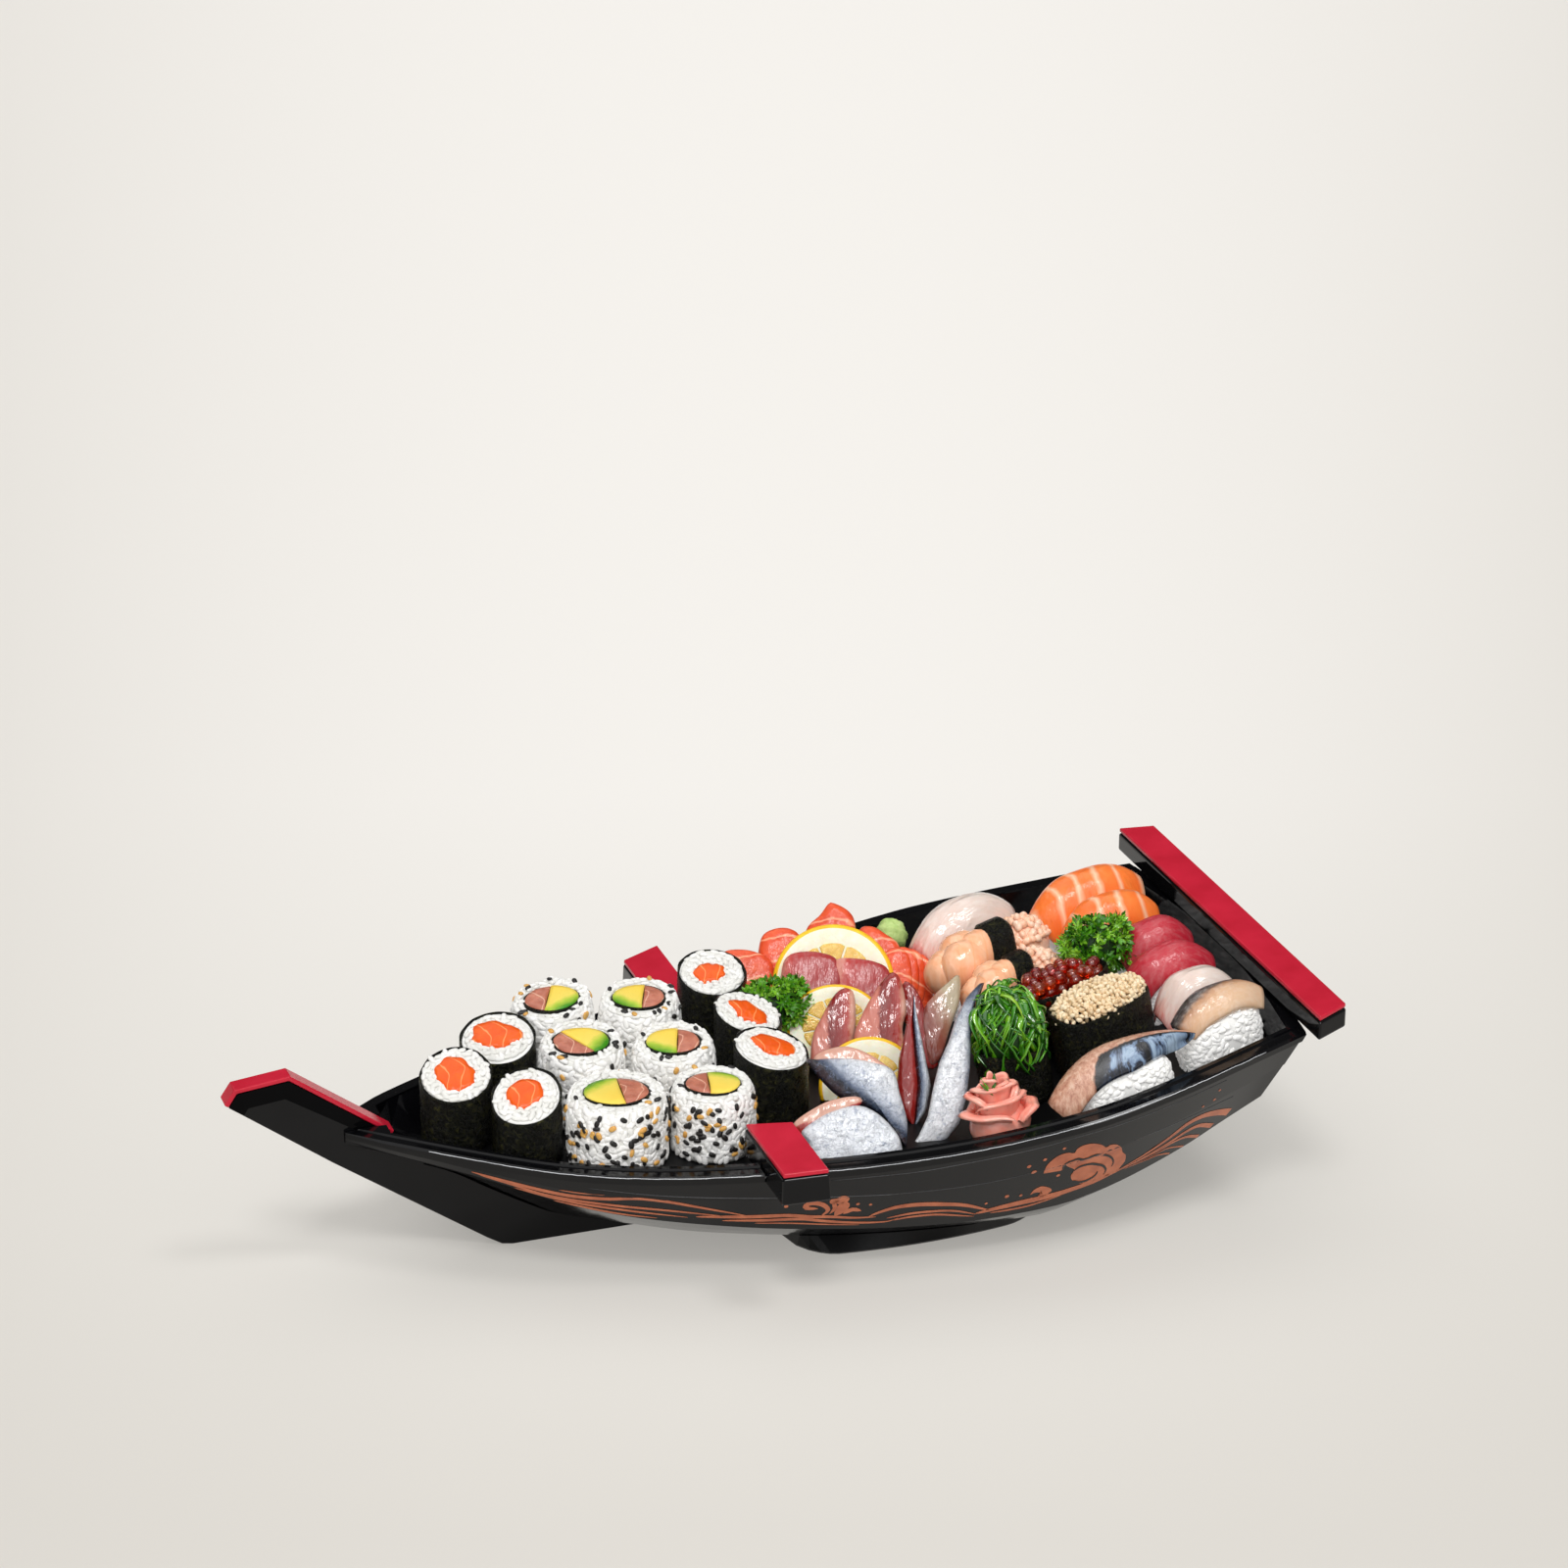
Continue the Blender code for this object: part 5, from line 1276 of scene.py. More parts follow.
# Lemon slices: node, half height up the slope, half width, shift across and up, height of the flat cut
LEMONS = [
    ("lemon_slice_1", 25.0, 25.0, 0.0, 0.0, -25.0),
    ("lemon_slice_2", 17.5, 20.0, 0.0, 0.0, -17.5),
    ("lemon_slice_3", 20.3, 20.3, 1.2, -8.9, -14.4),
]
LEMON_THICK = 4.0
PULP_SHARE = 0.68
WEDGES = 9
# Rows of the peel and of the pith, as shares of the slice's size and of its thickness
PEEL_ROWS = ((0.93, 0.5), (0.975, 0.44), (1.0, 0.2), (1.0, -0.2), (0.975, -0.44), (0.93, -0.5))
PITH_ROWS = ((0.93, 0.5), (PULP_SHARE * 1.08, 0.5), (PULP_SHARE, 0.38), (0.1, 0.36))


def pulp_wedge(solid, spot, middle, face):
    """One raised wedge of pulp round a middle direction, on the face of a lemon slice."""
    spread = math.pi / WEDGES * 0.94
    arc = [middle + spread * t for t in np.linspace(-1.0, 1.0, 7)]
    outline = [(0.06, middle), (PULP_SHARE * 0.96, arc[0])]
    outline += [(PULP_SHARE, a) for a in arc[1:-1]] + [(PULP_SHARE * 0.96, arc[-1])]
    outline = np.array([spot(r, a) for r, a in outline])
    centre = outline.mean(axis=0)
    count = len(outline)
    points = []
    for share, z in ((1.0, 0.3), (0.98, 0.46), (0.9, 0.5), (0.5, 0.52)):
        points += [(*(centre + (q - centre) * share), face * LEMON_THICK * z) for q in outline]
    points.append((*centre, face * LEMON_THICK * 0.525))
    solid.add(points, grid_faces(4, count, True) + fan(3 * count, count, 4 * count), PULP)


def lemon(node, tall, wide, shift_x, shift_y, floor_at):
    """Lemon slice with peel, a wide pith and wedges of pulp on both faces, cut flat where it stands."""
    solid = Solid()
    sides = 72
    angles = around(sides)

    def spot(scale, angle):
        x, y = shift_x + wide * scale * math.cos(angle), shift_y + tall * scale * math.sin(angle)
        return x, max(floor_at, y)

    def loops(rows):
        return stacked([(*spot(scale, a), LEMON_THICK * z) for a in angles] for scale, z in rows)

    solid.add(loops(PEEL_ROWS), grid_faces(len(PEEL_ROWS), sides, True), PEEL)
    for face in (1.0, -1.0):
        points = loops([(scale, face * z) for scale, z in PITH_ROWS])
        points.append((shift_x, shift_y, face * LEMON_THICK * 0.4))
        solid.add(points, grid_faces(4, sides, True) + fan(3 * sides, sides, 4 * sides), PITH)
        for k in range(WEDGES):
            pulp_wedge(solid, spot, 2 * math.pi * (k + 0.3) / WEDGES, face)
    lean_on_fan(solid, node, "lemon")


def seared_tint(u, v):
    """Dark seared skin along the front, paler flesh behind."""
    return 0.42 + 0.6 * (0.45 * u - 0.1 - v)


def cured_tint(u, v):
    """Flesh at the back and the fore end, then a dark line and the blue skin at the front."""
    line = -0.2 + 0.12 * u - 2.4 * max(0.0, -0.3 - u)
    return 0.42 + 0.42 * (line - v)


def mackerel_nigiri():
    """Two nigiri of mackerel: rice beds and the fillets laid over them."""
    seared, cured = (174.5, -65.5, 11.0), (127.5, -81.0, 2.0)
    for node, body, place, length, width, height in (
            ("mackerel_rice_1", "seared_mackerel_nigiri", seared, 38.0, 20.0, 22.5),
            ("mackerel_rice_2", "cured_mackerel_nigiri", cured, 42.0, 21.0, 21.0)):
        solid = Solid()
        rice_bed(solid, length, width, height)
        dress(solid, node, body, "sushi_rice", on_deck(*place))
    solid = Solid()
    drape(solid, 42.0, 19.0, 30.0, (8.0, 8.0), 6.0, 6.5, SEARED, 0.2, seared_tint, seed=71, shift=1.2)
    dress(solid, "seared_mackerel_fillet", "seared_mackerel_nigiri", "seared_fish", on_deck(*seared))
    solid = Solid()
    drape(solid, 66.0, 20.0, 29.0, (15.0, 8.5), 7.0, 6.0, CURED, 0.16, cured_tint, seed=72, shift=1.0,
          skew=2.0, taper=0.92)
    dress(solid, "cured_mackerel_fillet", "cured_mackerel_nigiri", "silver_fish", on_deck(*cured))


def leaf_shape(lobes, reach, ruffle):
    """Curly little leaf with pointed lobes round its edge, lying across x and y."""
    count = lobes * 4
    points = [(0.0, 0.0, 0.0)]
    for ring in (0.5, 1.0):
        for j in range(count):
            a = 2 * math.pi * j / count
            r = reach * ring * (0.6 + 0.4 * math.cos(lobes * a) * ring)
            z = ruffle * ring * math.sin(lobes * a + 0.8) + 0.3 * ring
            points.append((r * math.cos(a), r * math.sin(a), z))
    faces = [(0, 1 + j, 1 + (j + 1) % count) for j in range(count)]
    for j in range(count):
        k = (j + 1) % count
        faces.append((1 + j, 1 + count + j, 1 + count + k, 1 + k))
    return np.array(points), faces


CURLY_LEAF = leaf_shape(7, 1.0, 0.32)


def parsley(node, body, x, y, width, depth, base, height, leaves, upright):
    """Sprig of curly parsley: stems inside a round head of ruffled leaves."""
    solid = Solid()
    spots, normals = [], []
    middle = base + (height - base) * 0.5
    for _ in range(leaves):
        direction = RNG.normal(0.0, 1.0, 3)
        direction /= np.linalg.norm(direction)
        bunch = 0.5 + 0.5 * math.sin(5.0 * direction[0] + 1.3) * math.sin(5.0 * direction[2] + 0.4)
        reach = RNG.uniform(0.72, 0.86) + 0.16 * bunch
        spots.append((direction[0] * width / 2 * reach, direction[1] * depth / 2 * reach,
                      middle + direction[2] * (height - base) / 2 * reach))
        normals.append(direction + np.array([0.0, -0.3, 0.5]))
    scatter(solid, CURLY_LEAF, spots, normals, (3.6, 3.0, 3.2), LEAF, 0.6)
    # Dark green ball inside the head: painted shade showing between the leaves
    shade = np.array([width, depth, height - base]) / 2 * 0.7
    blob(solid, ball(8, 14), shade, (0.0, 0.0, middle), LEAF_SHADE)
    for _ in range(9):
        lean = RNG.normal(0.0, 1.0, 2) * np.array([width, depth]) * 0.18
        path = [(lean[0] * t * t, lean[1] * t * t, (middle + 3.0) * t) for t in np.linspace(0.02, 1.0, 7)]
        tube(solid, path, np.full(7, 0.6), LEAF, 6)
    dress(solid, node, body, "leaf", on_deck(x, y, 0.0, upright))


def petal(k, rows=11, columns=34):
    """Ginger petal number k, counted outwards: its points, faces and flow."""
    ring = k / (PETALS - 1)
    radius = 1.6 + 10.0 * ring ** 0.85
    start = k * 2.4 + 0.9 + RNG.uniform(-0.3, 0.3)
    span = 4.2 - 2.0 * ring
    rim = 29.0 - 12.5 * ring ** 1.5 + RNG.uniform(-1.2, 1.2)
    foot = 12.0 - 10.5 * ring
    outer, inner, flow = [], [], []
    for i in range(rows):
        t = i / (rows - 1)
        for j in range(columns):
            s = 2.0 * j / (columns - 1) - 1.0
            a = start + span / 2 * s
            ripple = (1.1 * math.sin(4.0 * s + k) + 0.5 * math.sin(9.0 * s + 2.0 * k)) * t
            flare = radius * (0.78 + 0.14 * t + 0.3 * t ** 4) + ripple
            z = foot + (rim - foot) * (math.sin(t * 1.9) / 0.947) * (1.0 - 0.2 * s ** 6) + 0.5 * ripple
            x, y = flare * 1.14 * math.cos(a), flare * 0.94 * math.sin(a)
            outer.append((x, y, z))
            inner.append((x * 0.9, y * 0.9, z + 0.3 * (1 - t)))
            flow.append((x, y, t))
    return np.array(outer + inner), shell_faces(rows, columns), np.array(flow + flow)


def ginger():
    """Rose of thin pickled ginger, folded in petals round its middle, with a small leaf."""
    solid = Solid()
    for k in range(PETALS):
        points, faces, flow = petal(k)
        solid.add(points, faces, GINGER, flow)
    blob(solid, on_end(ball(8, 16)), (12.5, 10.0, 9.0), (0.0, 0.0, 9.4), GINGER)
    for a in (1.0, 2.2, 3.4):
        path = [(3.4 * t * math.cos(a) - 2.0, 2.6 * t * math.sin(a) - 4.0, 24.0 + 5.4 * t)
                for t in np.linspace(0, 1.5, 6)]
        tube(solid, path, 1.1 * np.sin(np.linspace(0.3, 3.0, 6)), LEAF, 6, 0.4)
    dress(solid, "ginger_rose", "ginger_rose_piece", "ginger", on_deck(77.5, -78.0))


def wasabi():
    """Lumpy ball of wasabi on a rounder foot."""
    solid = Solid()
    points, faces = ball(18, 26)
    lumps = 1.0 + 0.05 * np.sin(points @ np.array([7.0, 5.0, 6.0]))
    lumps = lumps + 0.04 * np.sin(points @ np.array([-9.0, 8.0, 11.0]))
    points = points[:, [1, 2, 0]] * lumps[:, None] * np.array([6.6, 6.6, 7.2]) + np.array([0.0, 0.0, 17.2])
    solid.add(points, faces, WASABI)
    blob(solid, on_end(ball(10, 20)), (6.0, 6.0, 6.6), (0.0, 0.0, 6.7), WASABI)
    dress(solid, "wasabi_ball", "wasabi_ball_piece", "wasabi", on_deck(92.0, 79.5))


# Copper wave on the side of the hull: places along the boat and their heights, and the width of each stroke
WAVE_LINES = [
    ([(-125, 50.5), (-112, 47.2), (-98, 43.8), (-88, 42), (-77, 41.4), (-67, 42), (-56, 40.2), (-41, 36),
      (-26, 31.8)], 1.8),
    ([(-122, 49.2), (-111, 45.9), (-98, 41.6), (-77, 38), (-55, 34.9), (-33, 31.3)], 1.3),
    ([(-110, 44.2), (-90, 38.8), (-77, 36.2), (-62, 33.4), (-47, 30.8)], 1.2),
    ([(-96, 39), (-73, 33), (-58, 30.4)], 1.0),
    ([(-95, 45.4), (-87, 44.2), (-79, 44)], 0.7),
    ([(-44, 31.2), (-26, 31), (-11, 31.4), (-2, 30.2), (6, 29.6), (15, 28.2), (23.5, 27.8)], 2.0),
    ([(-34, 28.8), (-19, 28.8), (-5.5, 29), (3, 27.4), (15.5, 25.2), (27.7, 24.4), (32.5, 25.9)], 1.6),
    ([(-22, 27.2), (-8, 26.6), (6, 25), (18, 23.6)], 0.8),
    ([(20.8, 28.4), (24.7, 30.6), (31, 32.8), (39.8, 33.1), (48.9, 31.8), (58.2, 29.6), (69.4, 24.4)], 2.3),
    ([(28, 26.5), (36.5, 28), (45.2, 28.1), (54.4, 26.9), (64.2, 23.1)], 1.3),
    ([(30.2, 24.9), (37.8, 26), (48.4, 25.7), (63.6, 21.9)], 1.2),
    ([(64, 23.6), (77.5, 25.6), (90.7, 26.7), (98.7, 27.6), (105.7, 29), (113.2, 30.2), (119.3, 32.2),
      (127, 34.6)], 3.0),
    ([(70, 22.6), (83.5, 22.9), (91.3, 24.2), (99, 26)], 1.1),
    ([(0.1, 34.9), (-4, 35.4), (-4.6, 37.2), (-2.6, 38.4), (1.5, 37.2), (4.2, 33.7), (2.2, 30.4)], 2.4),
    ([(9.8, 38.6), (9.5, 34.4), (7.4, 30.2)], 4.6),
    ([(5.4, 38.4), (6.6, 34.6), (5.2, 31.4)], 1.8),
    ([(10.4, 31), (13.4, 33.3), (17, 32.1)], 2.4),
]
# Strokes of the plume behind the crest, which widen to a blunt end
WAVE_PLUMES = [
    ([(123, 33.4), (134.9, 38.8), (144.1, 44.1), (151.7, 49.4), (159.4, 50.9), (167.7, 49),
      (173.4, 46.6)], 4.0),
    ([(124, 33.4), (135.9, 37.3), (146.1, 41.3), (152.5, 44.3), (158.7, 45.1), (166.6, 41.4)], 2.6),
    ([(125, 33.4), (139, 37.3), (147.5, 40.1), (153.8, 40.5), (160.8, 37.7)], 1.8),
    ([(126, 33.2), (137.5, 35.4), (145.3, 37.2), (154.1, 34.8)], 1.0),
    ([(126, 33), (135.8, 34.2), (141.9, 34.8), (147.6, 33.3)], 0.9),
]
# Filled crests of the wave, each between an upper and a lower line
WAVE_CRESTS = [
    ([(87.7, 42.1), (87.5, 46.5), (89.2, 49.8), (91.8, 52), (95.2, 52.6), (98.2, 51.7), (98.8, 54),
      (101.4, 55.4), (105.5, 55.2), (109.8, 53.1), (112.4, 50.8), (114, 51.8), (117.2, 50.8),
      (120.2, 47.8), (121.5, 44.8), (123.8, 42.1), (124.6, 38.6), (124, 36.3), (122.9, 34.2)],
     [(87.7, 42.1), (91.8, 42), (95.8, 42.2), (95.5, 45.4), (97.7, 43.6), (101.2, 40.7), (100.5, 37.7),
      (101.6, 34.8), (104.4, 32.1), (108, 30.6), (111.2, 30.6), (116.3, 31.4), (120.2, 32),
      (122.9, 33.6)]),
    ([(84.9, 29.9), (86, 32.6), (88.8, 34.1), (92.9, 32.1), (94.2, 30.1)],
     [(84.9, 29.9), (87.4, 30.8), (90.4, 29.6), (88.6, 27.6), (91.4, 27.4), (94.2, 30.1)]),
]
# Dark curls left bare in the crests
WAVE_CURLS = [
    [(95.6, 42.2), (95.7, 46.1), (98.6, 47.4), (100.7, 47.8), (103.1, 46.6), (105.5, 46.9), (107.9, 47.8),
     (111.5, 46.7), (114.9, 44.9), (117.5, 42.4), (118.9, 39.4), (118.6, 37.2)],
    [(101.1, 40.2), (102.5, 41.8), (104.9, 42.5), (108.2, 42.3), (111.5, 40.8), (114.5, 38.9),
     (116.4, 35.8), (116.1, 33.1)],
    [(102.2, 34.2), (104.7, 32.5), (107.9, 32), (110.8, 33.1), (112.3, 34.7), (112.5, 36.7)],
]
CURL_WIDTH = 1.3
# Fine raised lines along the lapped side of the hull, coloured light grey as a painted highlight
LAP_LINES = [
    [(2, 51.4), (18.6, 52.3), (35.6, 53.1), (52.5, 55.1), (81.7, 58.4), (98.9, 61.2), (115.4, 62.9),
     (136.4, 65.4), (163.8, 70)],
    [(-85, 47.4), (-49.6, 43.1), (8, 41.7), (35, 40.8), (61.8, 41.4), (85, 43.8)],
    [(125.5, 50), (145, 52.6), (172, 56.7)],
]
LAP_WIDTH = 0.4
LAP_HEIGHT = 0.15
# Stretch of the rim that shows a painted highlight along its outer edge, and the thickness of that line
RIM_FROM, RIM_TO = -140.0, 180.0
RIM_EDGE = 0.2
RIM_STEPS = 160
# Search for the rim: from how far out and how high, in which steps, and how flat it has to be
RIM_SEARCH_FROM = 110.0
RIM_SEARCH_HEIGHT = 150.0
RIM_SEARCH_STEP = 0.15
RIM_FLATNESS = 0.4
# Round blots and drops of the ornament: place along the boat, height, radius
WAVE_DROPS = [
    (8.4, 39.6, 2.7), (5.6, 39, 1.8), (80, 48.3, 0.9), (83, 44.2, 1.1), (86, 50.9, 0.8), (93, 55.6, 0.7),
    (94.6, 39.2, 0.8), (75, 31.4, 0.9), (81, 30.6, 0.7), (67, 28.9, 0.6), (-12, 36.8, 0.8),
    (-7.4, 39.8, 0.7), (15, 36.4, 0.7), (20, 35.6, 0.6), (156, 58, 0.6), (161, 60, 0.7), (162, 65, 0.6),
]
PAINT_LIFT = 0.12
# Distance from which paint is laid on the hull, and the places of points across a stroke and a raised line
OUTSIDE = 200.0
STROKE_SHARES = (-1, -0.33, 0.33, 1)
LAP_SHARES = (-1, -0.6, 0, 0.6, 1)
LAP_RISES = (0.0, 0.75, 1.0, 0.75, 0.0)


def smooth_line(places, step):
    """Smooth open line through a few places."""
    places = np.asarray(places, float)
    ends = np.vstack([2 * places[0] - places[1], places, 2 * places[-1] - places[-2]])
    line = []
    for i in range(len(places) - 1):
        line += bend(*ends[i:i + 4], step)
    line.append(places[-1])
    return np.array(line)


def even_line(places, count):
    """Points at equal steps along a smooth line."""
    line = smooth_line(places, FINE_STEP)
    run = np.concatenate([[0.0], np.cumsum(np.linalg.norm(np.diff(line, axis=0), axis=1))])
    at = np.linspace(0.0, run[-1], count)
    return np.column_stack([np.interp(at, run, line[:, k]) for k in range(2)])


def stroke(places, half_width, shares):
    """Grid of points across a line, where half_width gives the reach at each share of its length."""
    line = smooth_line(places, CURVE_STEP)
    along = np.gradient(line, axis=0)
    along /= np.linalg.norm(along, axis=1, keepdims=True)
    across = np.column_stack([-along[:, 1], along[:, 0]])
    half = half_width(np.linspace(0.0, 1.0, len(line)))
    return [line[i] + across[i] * half[i] * t for i in range(len(line)) for t in shares]


def rim_line(tree, side):
    """Outer edge of the rim, found by looking down on it from outside."""
    line = []
    for x in np.linspace(RIM_FROM, RIM_TO, RIM_STEPS):
        for y in np.arange(RIM_SEARCH_FROM, 0.0, -RIM_SEARCH_STEP):
            start = Vector((x, side * y, RIM_SEARCH_HEIGHT)) * MM
            spot, normal, _, _ = tree.ray_cast(start, Vector((0.0, 0.0, -1.0)))
            if spot is not None and normal.z > RIM_FLATNESS:
                line.append(np.array(spot) / MM + np.array([0.0, -0.3 * side, 0.1]))
                break
    return np.array(line)


def leaf_stroke(width):
    """Half width of a stroke that narrows at both ends."""
    return lambda share: width / 2 * (0.16 + 0.84 * np.sin(math.pi * share ** 0.8) ** 0.6)


def feather_stroke(width):
    """Half width of a stroke that widens to a blunt end."""
    return lambda share: width / 2 * (0.14 + 0.86 * share ** 1.2)


def hull_tree():
    """Search tree of the hull, to lay paint on it."""
    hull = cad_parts["hull_shell"]
    shape = bmesh.new()
    shape.from_mesh(hull.data)
    shape.transform(hull.matrix_world)
    tree = BVHTree.FromBMesh(shape)
    shape.free()
    return tree


def drop_shape(x, z, radius, sides=16):
    """Round blot of paint: points and faces."""
    points = [(x + radius * r * math.cos(a), z + radius * r * math.sin(a)) for r in (1.0, 0.55)
              for a in around(sides)]
    return points + [(x, z)], grid_faces(2, sides, True) + fan(sides, sides, 2 * sides)


def ornament():
    """Wave in copper paint, fine raised lines in a painted highlight and a painted highlight along the rim,
    on both sides of the hull.
    """
    tree = hull_tree()
    strokes = [(places, leaf_stroke(width)) for places, width in WAVE_LINES]
    strokes += [(places, feather_stroke(width)) for places, width in WAVE_PLUMES]
    for name, side in (("wave_ornament_port", -1.0), ("wave_ornament_starboard", 1.0)):
        solid = Solid()

        def lay(points, faces, finish=COPPER, lifts=PAINT_LIFT):
            laid = []
            for (x, z), lift in zip(points, np.broadcast_to(lifts, len(points))):
                start = Vector((x, side * OUTSIDE, z)) * MM
                spot, normal, _, _ = tree.ray_cast(start, Vector((0.0, -side, 0.0)))
                if spot is None:
                    return
                laid.append((spot + normal * lift * MM) / MM)
            solid.add(laid, faces, finish)

        def lay_stroke(places, half_width, finish=COPPER, lift=PAINT_LIFT):
            points = stroke(places, half_width, STROKE_SHARES)
            lay(points, grid_faces(len(points) // len(STROKE_SHARES), len(STROKE_SHARES)), finish, lift)

        for places, half_width in strokes:
            lay_stroke(places, half_width)
        for upper, lower in WAVE_CRESTS:
            count, rows = 64, 11
            edges = zip(even_line(lower, count), even_line(upper, count))
            points = [low + (high - low) * t for low, high in edges for t in np.linspace(0.0, 1.0, rows)]
            lay(points, grid_faces(count, rows))
        for places in WAVE_CURLS:
            lay_stroke(places, leaf_stroke(CURL_WIDTH), BLACK, PAINT_LIFT * 2)
        # Raised lap lines, coloured light grey as a painted highlight
        for places in LAP_LINES:
            points = stroke(places, leaf_stroke(LAP_WIDTH), LAP_SHARES)
            count = len(points) // len(LAP_SHARES)
            lifts = np.tile(np.array(LAP_RISES) * LAP_HEIGHT, count)
            lay(points, grid_faces(count, len(LAP_SHARES)), WORN, lifts)
        # Thin tube along the outer edge of the rim, in a light grey that paints its highlight
        tube(solid, rim_line(tree, side), [RIM_EDGE] * RIM_STEPS, GLEAM, 5)
        for drop in WAVE_DROPS:
            lay(*drop_shape(*drop))
        piece = solid.build(name, Matrix())
        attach(piece, "boat")


# Joining of a hard node's points and triangles, and the tilt of faces that take the second finish, a darker
# black painted as shade
MERGE_DISTANCE = 0.000005
FLAT_SHAPE = math.radians(70.0)
SLANT_LOW, SLANT_HIGH = 0.95, 0.9995


def smooth_copy(node, finish, angle=14.0, bevel=0.0, joined=12.0, slanted=None):
    """Copy of a hard node, shaded smooth; slanted is a darker second finish, painted shade, for its slightly
    slanted sides.
    """
    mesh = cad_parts[node].data.copy()
    mesh.name = node + "_look"
    bm = bmesh.new()
    bm.from_mesh(mesh)
    bmesh.ops.remove_doubles(bm, verts=bm.verts, dist=MERGE_DISTANCE)
    bmesh.ops.join_triangles(bm, faces=bm.faces, angle_face_threshold=math.radians(joined),
                             angle_shape_threshold=FLAT_SHAPE)
    bm.to_mesh(mesh)
    bm.free()
    mesh.materials.clear()
    mesh.materials.append(finish)
    kinds = np.zeros(len(mesh.polygons), np.int32)
    if slanted:
        mesh.materials.append(slanted)
        side = np.array([abs(face.normal.y) for face in mesh.polygons])
        kinds[(side > SLANT_LOW) & (side < SLANT_HIGH)] = 1
    mesh.polygons.foreach_set("material_index", kinds)
    mesh.shade_smooth()
    mesh.set_sharp_from_angle(angle=math.radians(angle))
    piece = bpy.data.objects.new(node + "_look", mesh)
    bpy.context.scene.collection.objects.link(piece)
    if bevel:
        round_over = piece.modifiers.new("rounded", "BEVEL")
        round_over.width = bevel * MM
        round_over.segments = 2
        round_over.limit_method = "ANGLE"
        round_over.angle_limit = math.radians(angle)
    even = piece.modifiers.new("even", "WEIGHTED_NORMAL")
    even.keep_sharp = True
    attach(piece, "boat")
    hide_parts(node)
    return piece


def vessel():
    """Hull, deck, foot, stem, beams and bar with their red caps."""
    smooth_copy("hull_shell", BLACK, 14.0, 0.35)
    smooth_copy("deck_board", SATIN)
    smooth_copy("keel_foot", SATIN)
    # The slightly slanted band of the stem takes the darker black: painted shade
    smooth_copy("stem_post", BLACK, 4.0, 0.3, 2.0, DEEP_BLACK)
    for node in ("port_beam_block", "starboard_beam_block", "stern_bar"):
        smooth_copy(node, BLACK, 20.0, 0.5)
    for node in ("stem_cap", "port_beam_cap", "starboard_beam_cap", "stern_bar_cap"):
        smooth_copy(node, RED, 20.0, 0.4)


def food():
    """All the food, in the order of its random draws."""
    for row in THIN_ROLLS:
        thin_roll(*row)
    for row in RICE_ROLLS:
        rice_roll(*row)
    for row in NIGIRI:
        nigiri(*row)
    for row in SHRIMP_NIGIRI:
        shrimp_nigiri(*row)
    mackerel_nigiri()
    roe_gunkan()
    crumb_gunkan()
    seaweed_gunkan()
    cuts()
    fillets()
    for row in LEMONS:
        lemon(*row)
    parsley("parsley_sprig_1", SASHIMI, 20.7, 28.2, 34.0, 20.0, 8.0, 34.0, 250, False)
    parsley("parsley_sprig_2", "parsley_sprig_2_piece", 149.4, 2.4, 33.0, 20.0, 12.5, 39.5, 270, True)
    ginger()
    wasabi()


# Sweep under the boat: how far from the camera it pales, and the fall of its light to the sides
SWEEP_NEAR = 1.35
SWEEP_FAR = 2.1
SWEEP_SIDE = 0.175
# Share of the floor that shows its plain colour, which keeps the shadow pale, and half its width in metres
SWEEP_GLOW = 0.4
FLOOR_HALF = 9.0


def sweep():
    """Pale floor, a little darker in front and to the sides."""
    f = Finish("pale_sweep", rough=0.9, specular=0.0)
    ahead = (math.sin(CAMERA_TURN), math.cos(CAMERA_TURN), 0.0)
    right = (math.cos(CAMERA_TURN), -math.sin(CAMERA_TURN), 0.0)
    start = (CAMERA_PLACE[0], CAMERA_PLACE[1], 0.0)
    offset = f.add("VectorMath", {"operation": "SUBTRACT"})
    f.feed(offset, 0, f.place())
    offset.inputs[1].default_value = start
    reach = f.add("VectorMath", {"operation": "DOT_PRODUCT"})
    side = f.add("VectorMath", {"operation": "DOT_PRODUCT"})
    for node, way in ((reach, ahead), (side, right)):
        f.feed(node, 0, offset.outputs["Vector"])
        node.inputs[1].default_value = way
    away = reach.outputs["Value"]
    share = f.math("DIVIDE", f.math("SUBTRACT", away, SWEEP_NEAR), SWEEP_FAR - SWEEP_NEAR)
    fall = f.math("POWER", f.math("ABSOLUTE", f.math("DIVIDE", side.outputs["Value"], away)), 2.0)
    fall = f.math("DIVIDE", fall, SWEEP_SIDE ** 2)
    grain = f.math("MULTIPLY", f.math("SUBTRACT", f.noise(4.0, 3.0), 0.5), 0.06)
    colour = f.ramp(f.math("ADD", share, grain), [(0.0, (220, 216, 209)), (0.45, (232, 229, 223)),
                                                 (0.9, (239, 236, 231))])
    colour = f.mix(f.math("MULTIPLY", fall, 0.5), colour, (214, 210, 203))
    f.set(base=colour)
    f.lit_back(colour, SWEEP_GLOW)
    mesh = bpy.data.meshes.new("floor")
    corners = [(x * FLOOR_HALF, y * FLOOR_HALF, 0.0) for x, y in ((-1, -1), (1, -1), (1, 1), (-1, 1))]
    mesh.from_pydata(corners, [], [(0, 1, 2, 3)])
    mesh.materials.append(f.material)
    floor = bpy.data.objects.new("floor", mesh)
    bpy.context.scene.collection.objects.link(floor)


# World light: share by which it is brighter towards the camera, its strength and its shades by height
FRONT_GLOW = 0.2
DOME_STRENGTH = 0.34
DOME_STOPS = [(0.4, (0.16, 0.158, 0.155, 1.0)), (0.72, (1.0, 0.99, 0.975, 1.0))]
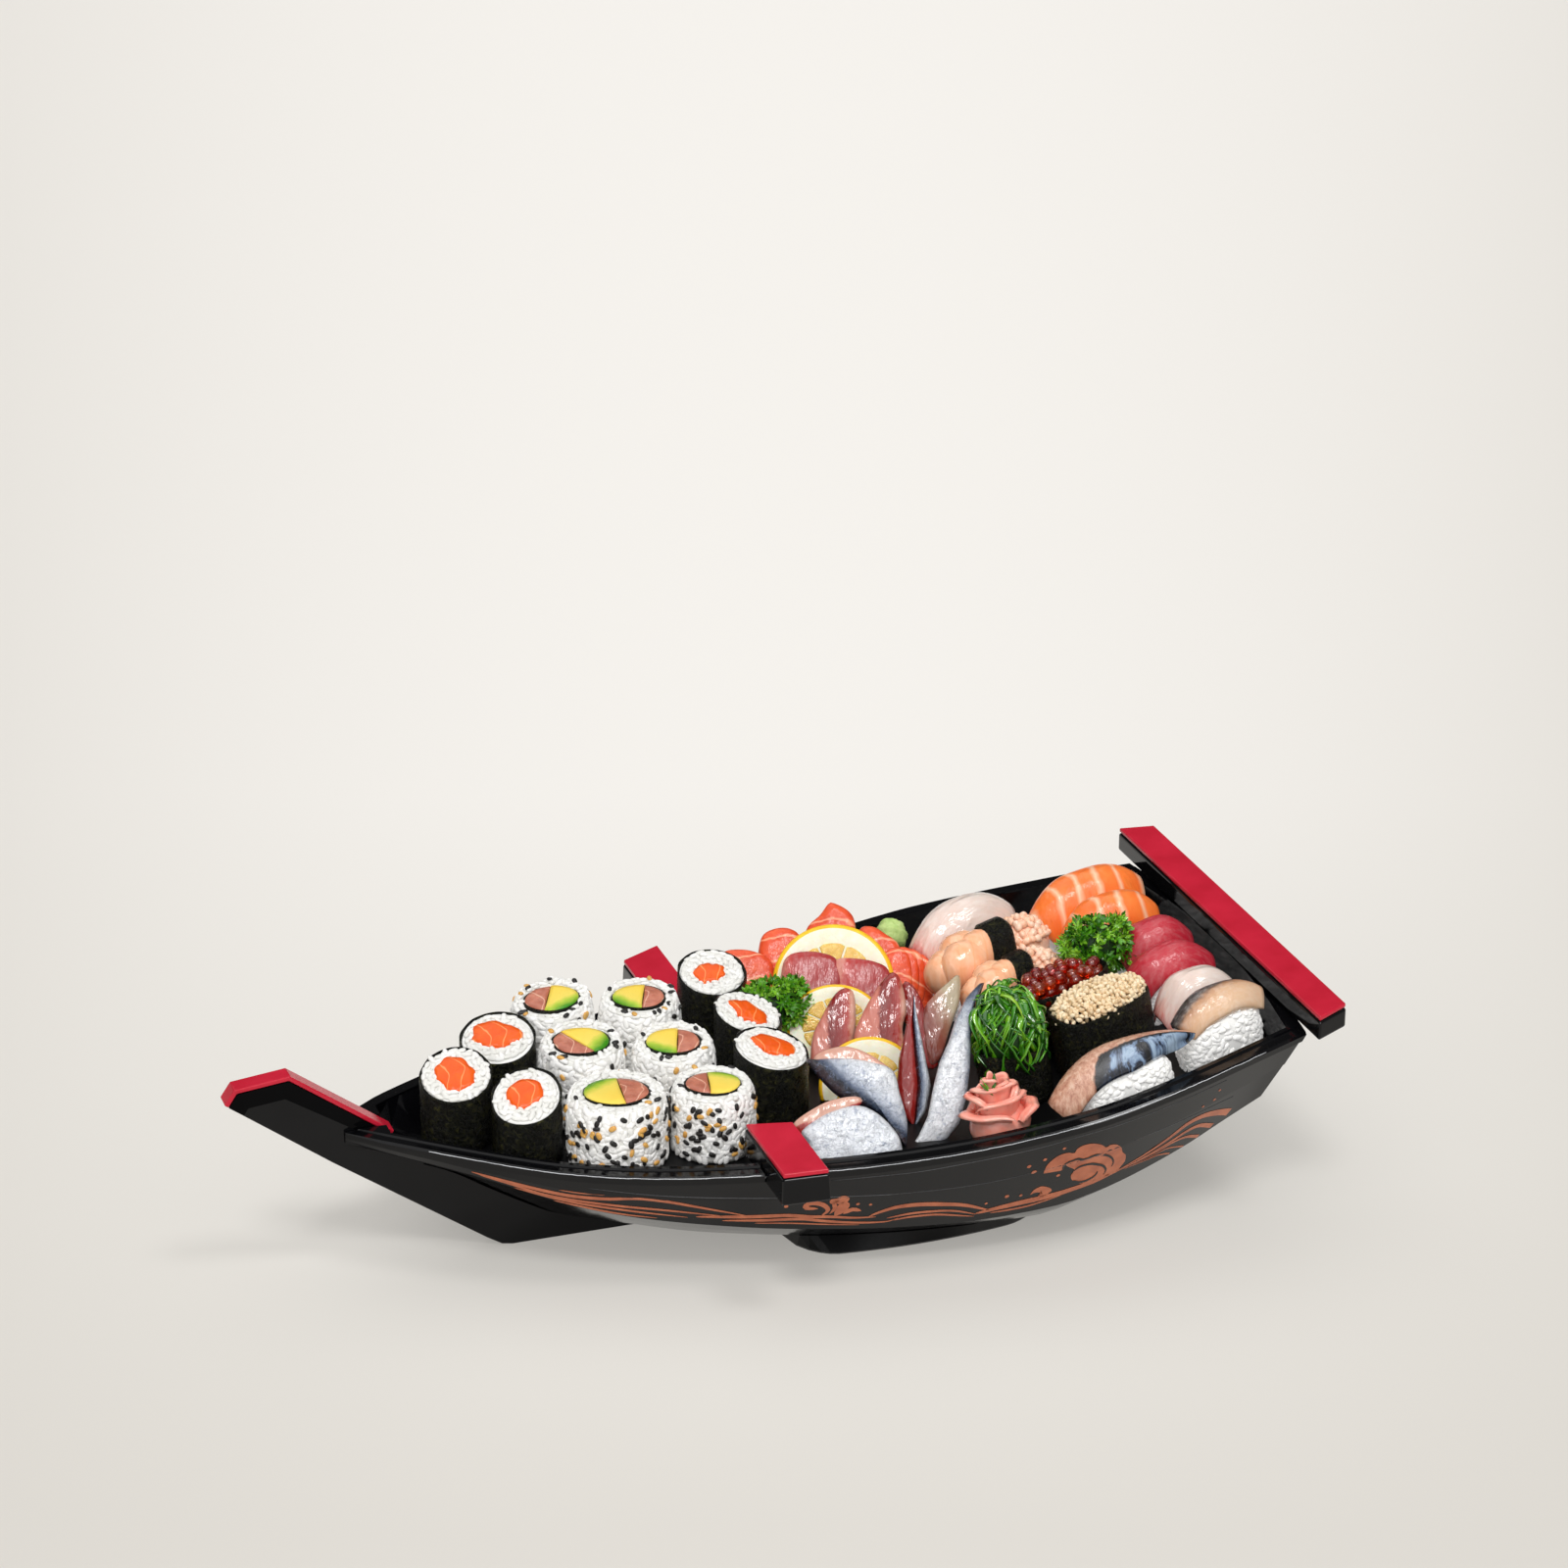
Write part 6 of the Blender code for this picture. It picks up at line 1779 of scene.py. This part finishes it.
# Suns: name, where they shine from, how wide they are in degrees, strength
LAMPS = [
    ("key", (-0.4, -1.0, 0.6), 90.0, 1.6),
    ("spark", (-0.35, -0.8, 1.3), 13.0, 0.9),
    ("top", (-0.1, 0.5, 1.0), 60.0, 0.7),
    ("edge", (0.25, -0.36, 0.9), 13.0, 0.6),
]


def dome():
    """World light from above, brighter towards the camera."""
    world = bpy.data.worlds.new("studio")
    world.use_nodes = True
    nodes = world.node_tree.nodes
    links = world.node_tree.links
    way = nodes.new("ShaderNodeTexCoord")
    parts = nodes.new("ShaderNodeSeparateXYZ")
    shade = nodes.new("ShaderNodeValToRGB")
    front = nodes.new("ShaderNodeMath")
    front.operation = "MULTIPLY_ADD"
    front.use_clamp = True
    front.inputs[1].default_value = -FRONT_GLOW
    links.new(way.outputs["Generated"], parts.inputs[0])
    links.new(parts.outputs[1], front.inputs[0])
    links.new(parts.outputs[2], front.inputs[2])
    links.new(front.outputs[0], shade.inputs["Fac"])
    for element, (at, colour) in zip(shade.color_ramp.elements, DOME_STOPS):
        element.position = at
        element.color = colour
    links.new(shade.outputs["Color"], nodes["Background"].inputs["Color"])
    nodes["Background"].inputs["Strength"].default_value = DOME_STRENGTH
    bpy.context.scene.world = world


def lamps():
    """Suns of the studio, all aimed at the middle of the boat."""
    for name, spot, angle, power in LAMPS:
        lamp = bpy.data.lights.new(name, "SUN")
        lamp.angle = math.radians(angle)
        lamp.energy = power
        holder = bpy.data.objects.new(name, lamp)
        holder.location = spot
        holder.rotation_euler = (-Vector(spot)).to_track_quat("-Z", "Y").to_euler()
        bpy.context.scene.collection.objects.link(holder)


def view():
    """Camera at the angle of the photograph."""
    camera = bpy.data.cameras.new("camera")
    camera.sensor_width = SENSOR
    camera.lens = FOCAL_PIXELS / IMAGE_PIXELS * SENSOR
    camera.clip_end = 50.0
    holder = bpy.data.objects.new("camera", camera)
    level = math.cos(CAMERA_DIP)
    forward = Vector((math.sin(CAMERA_TURN) * level, math.cos(CAMERA_TURN) * level, -math.sin(CAMERA_DIP)))
    right = Vector((math.cos(CAMERA_TURN), -math.sin(CAMERA_TURN), 0.0))
    turn = Matrix((right, right.cross(forward), -forward)).transposed().to_4x4()
    turn.translation = CAMERA_PLACE
    holder.matrix_world = turn
    bpy.context.scene.collection.objects.link(holder)
    bpy.context.scene.camera = holder
    bpy.context.scene.view_settings.view_transform = "Standard"


vessel()
ornament()
food()
sweep()
dome()
lamps()
view()
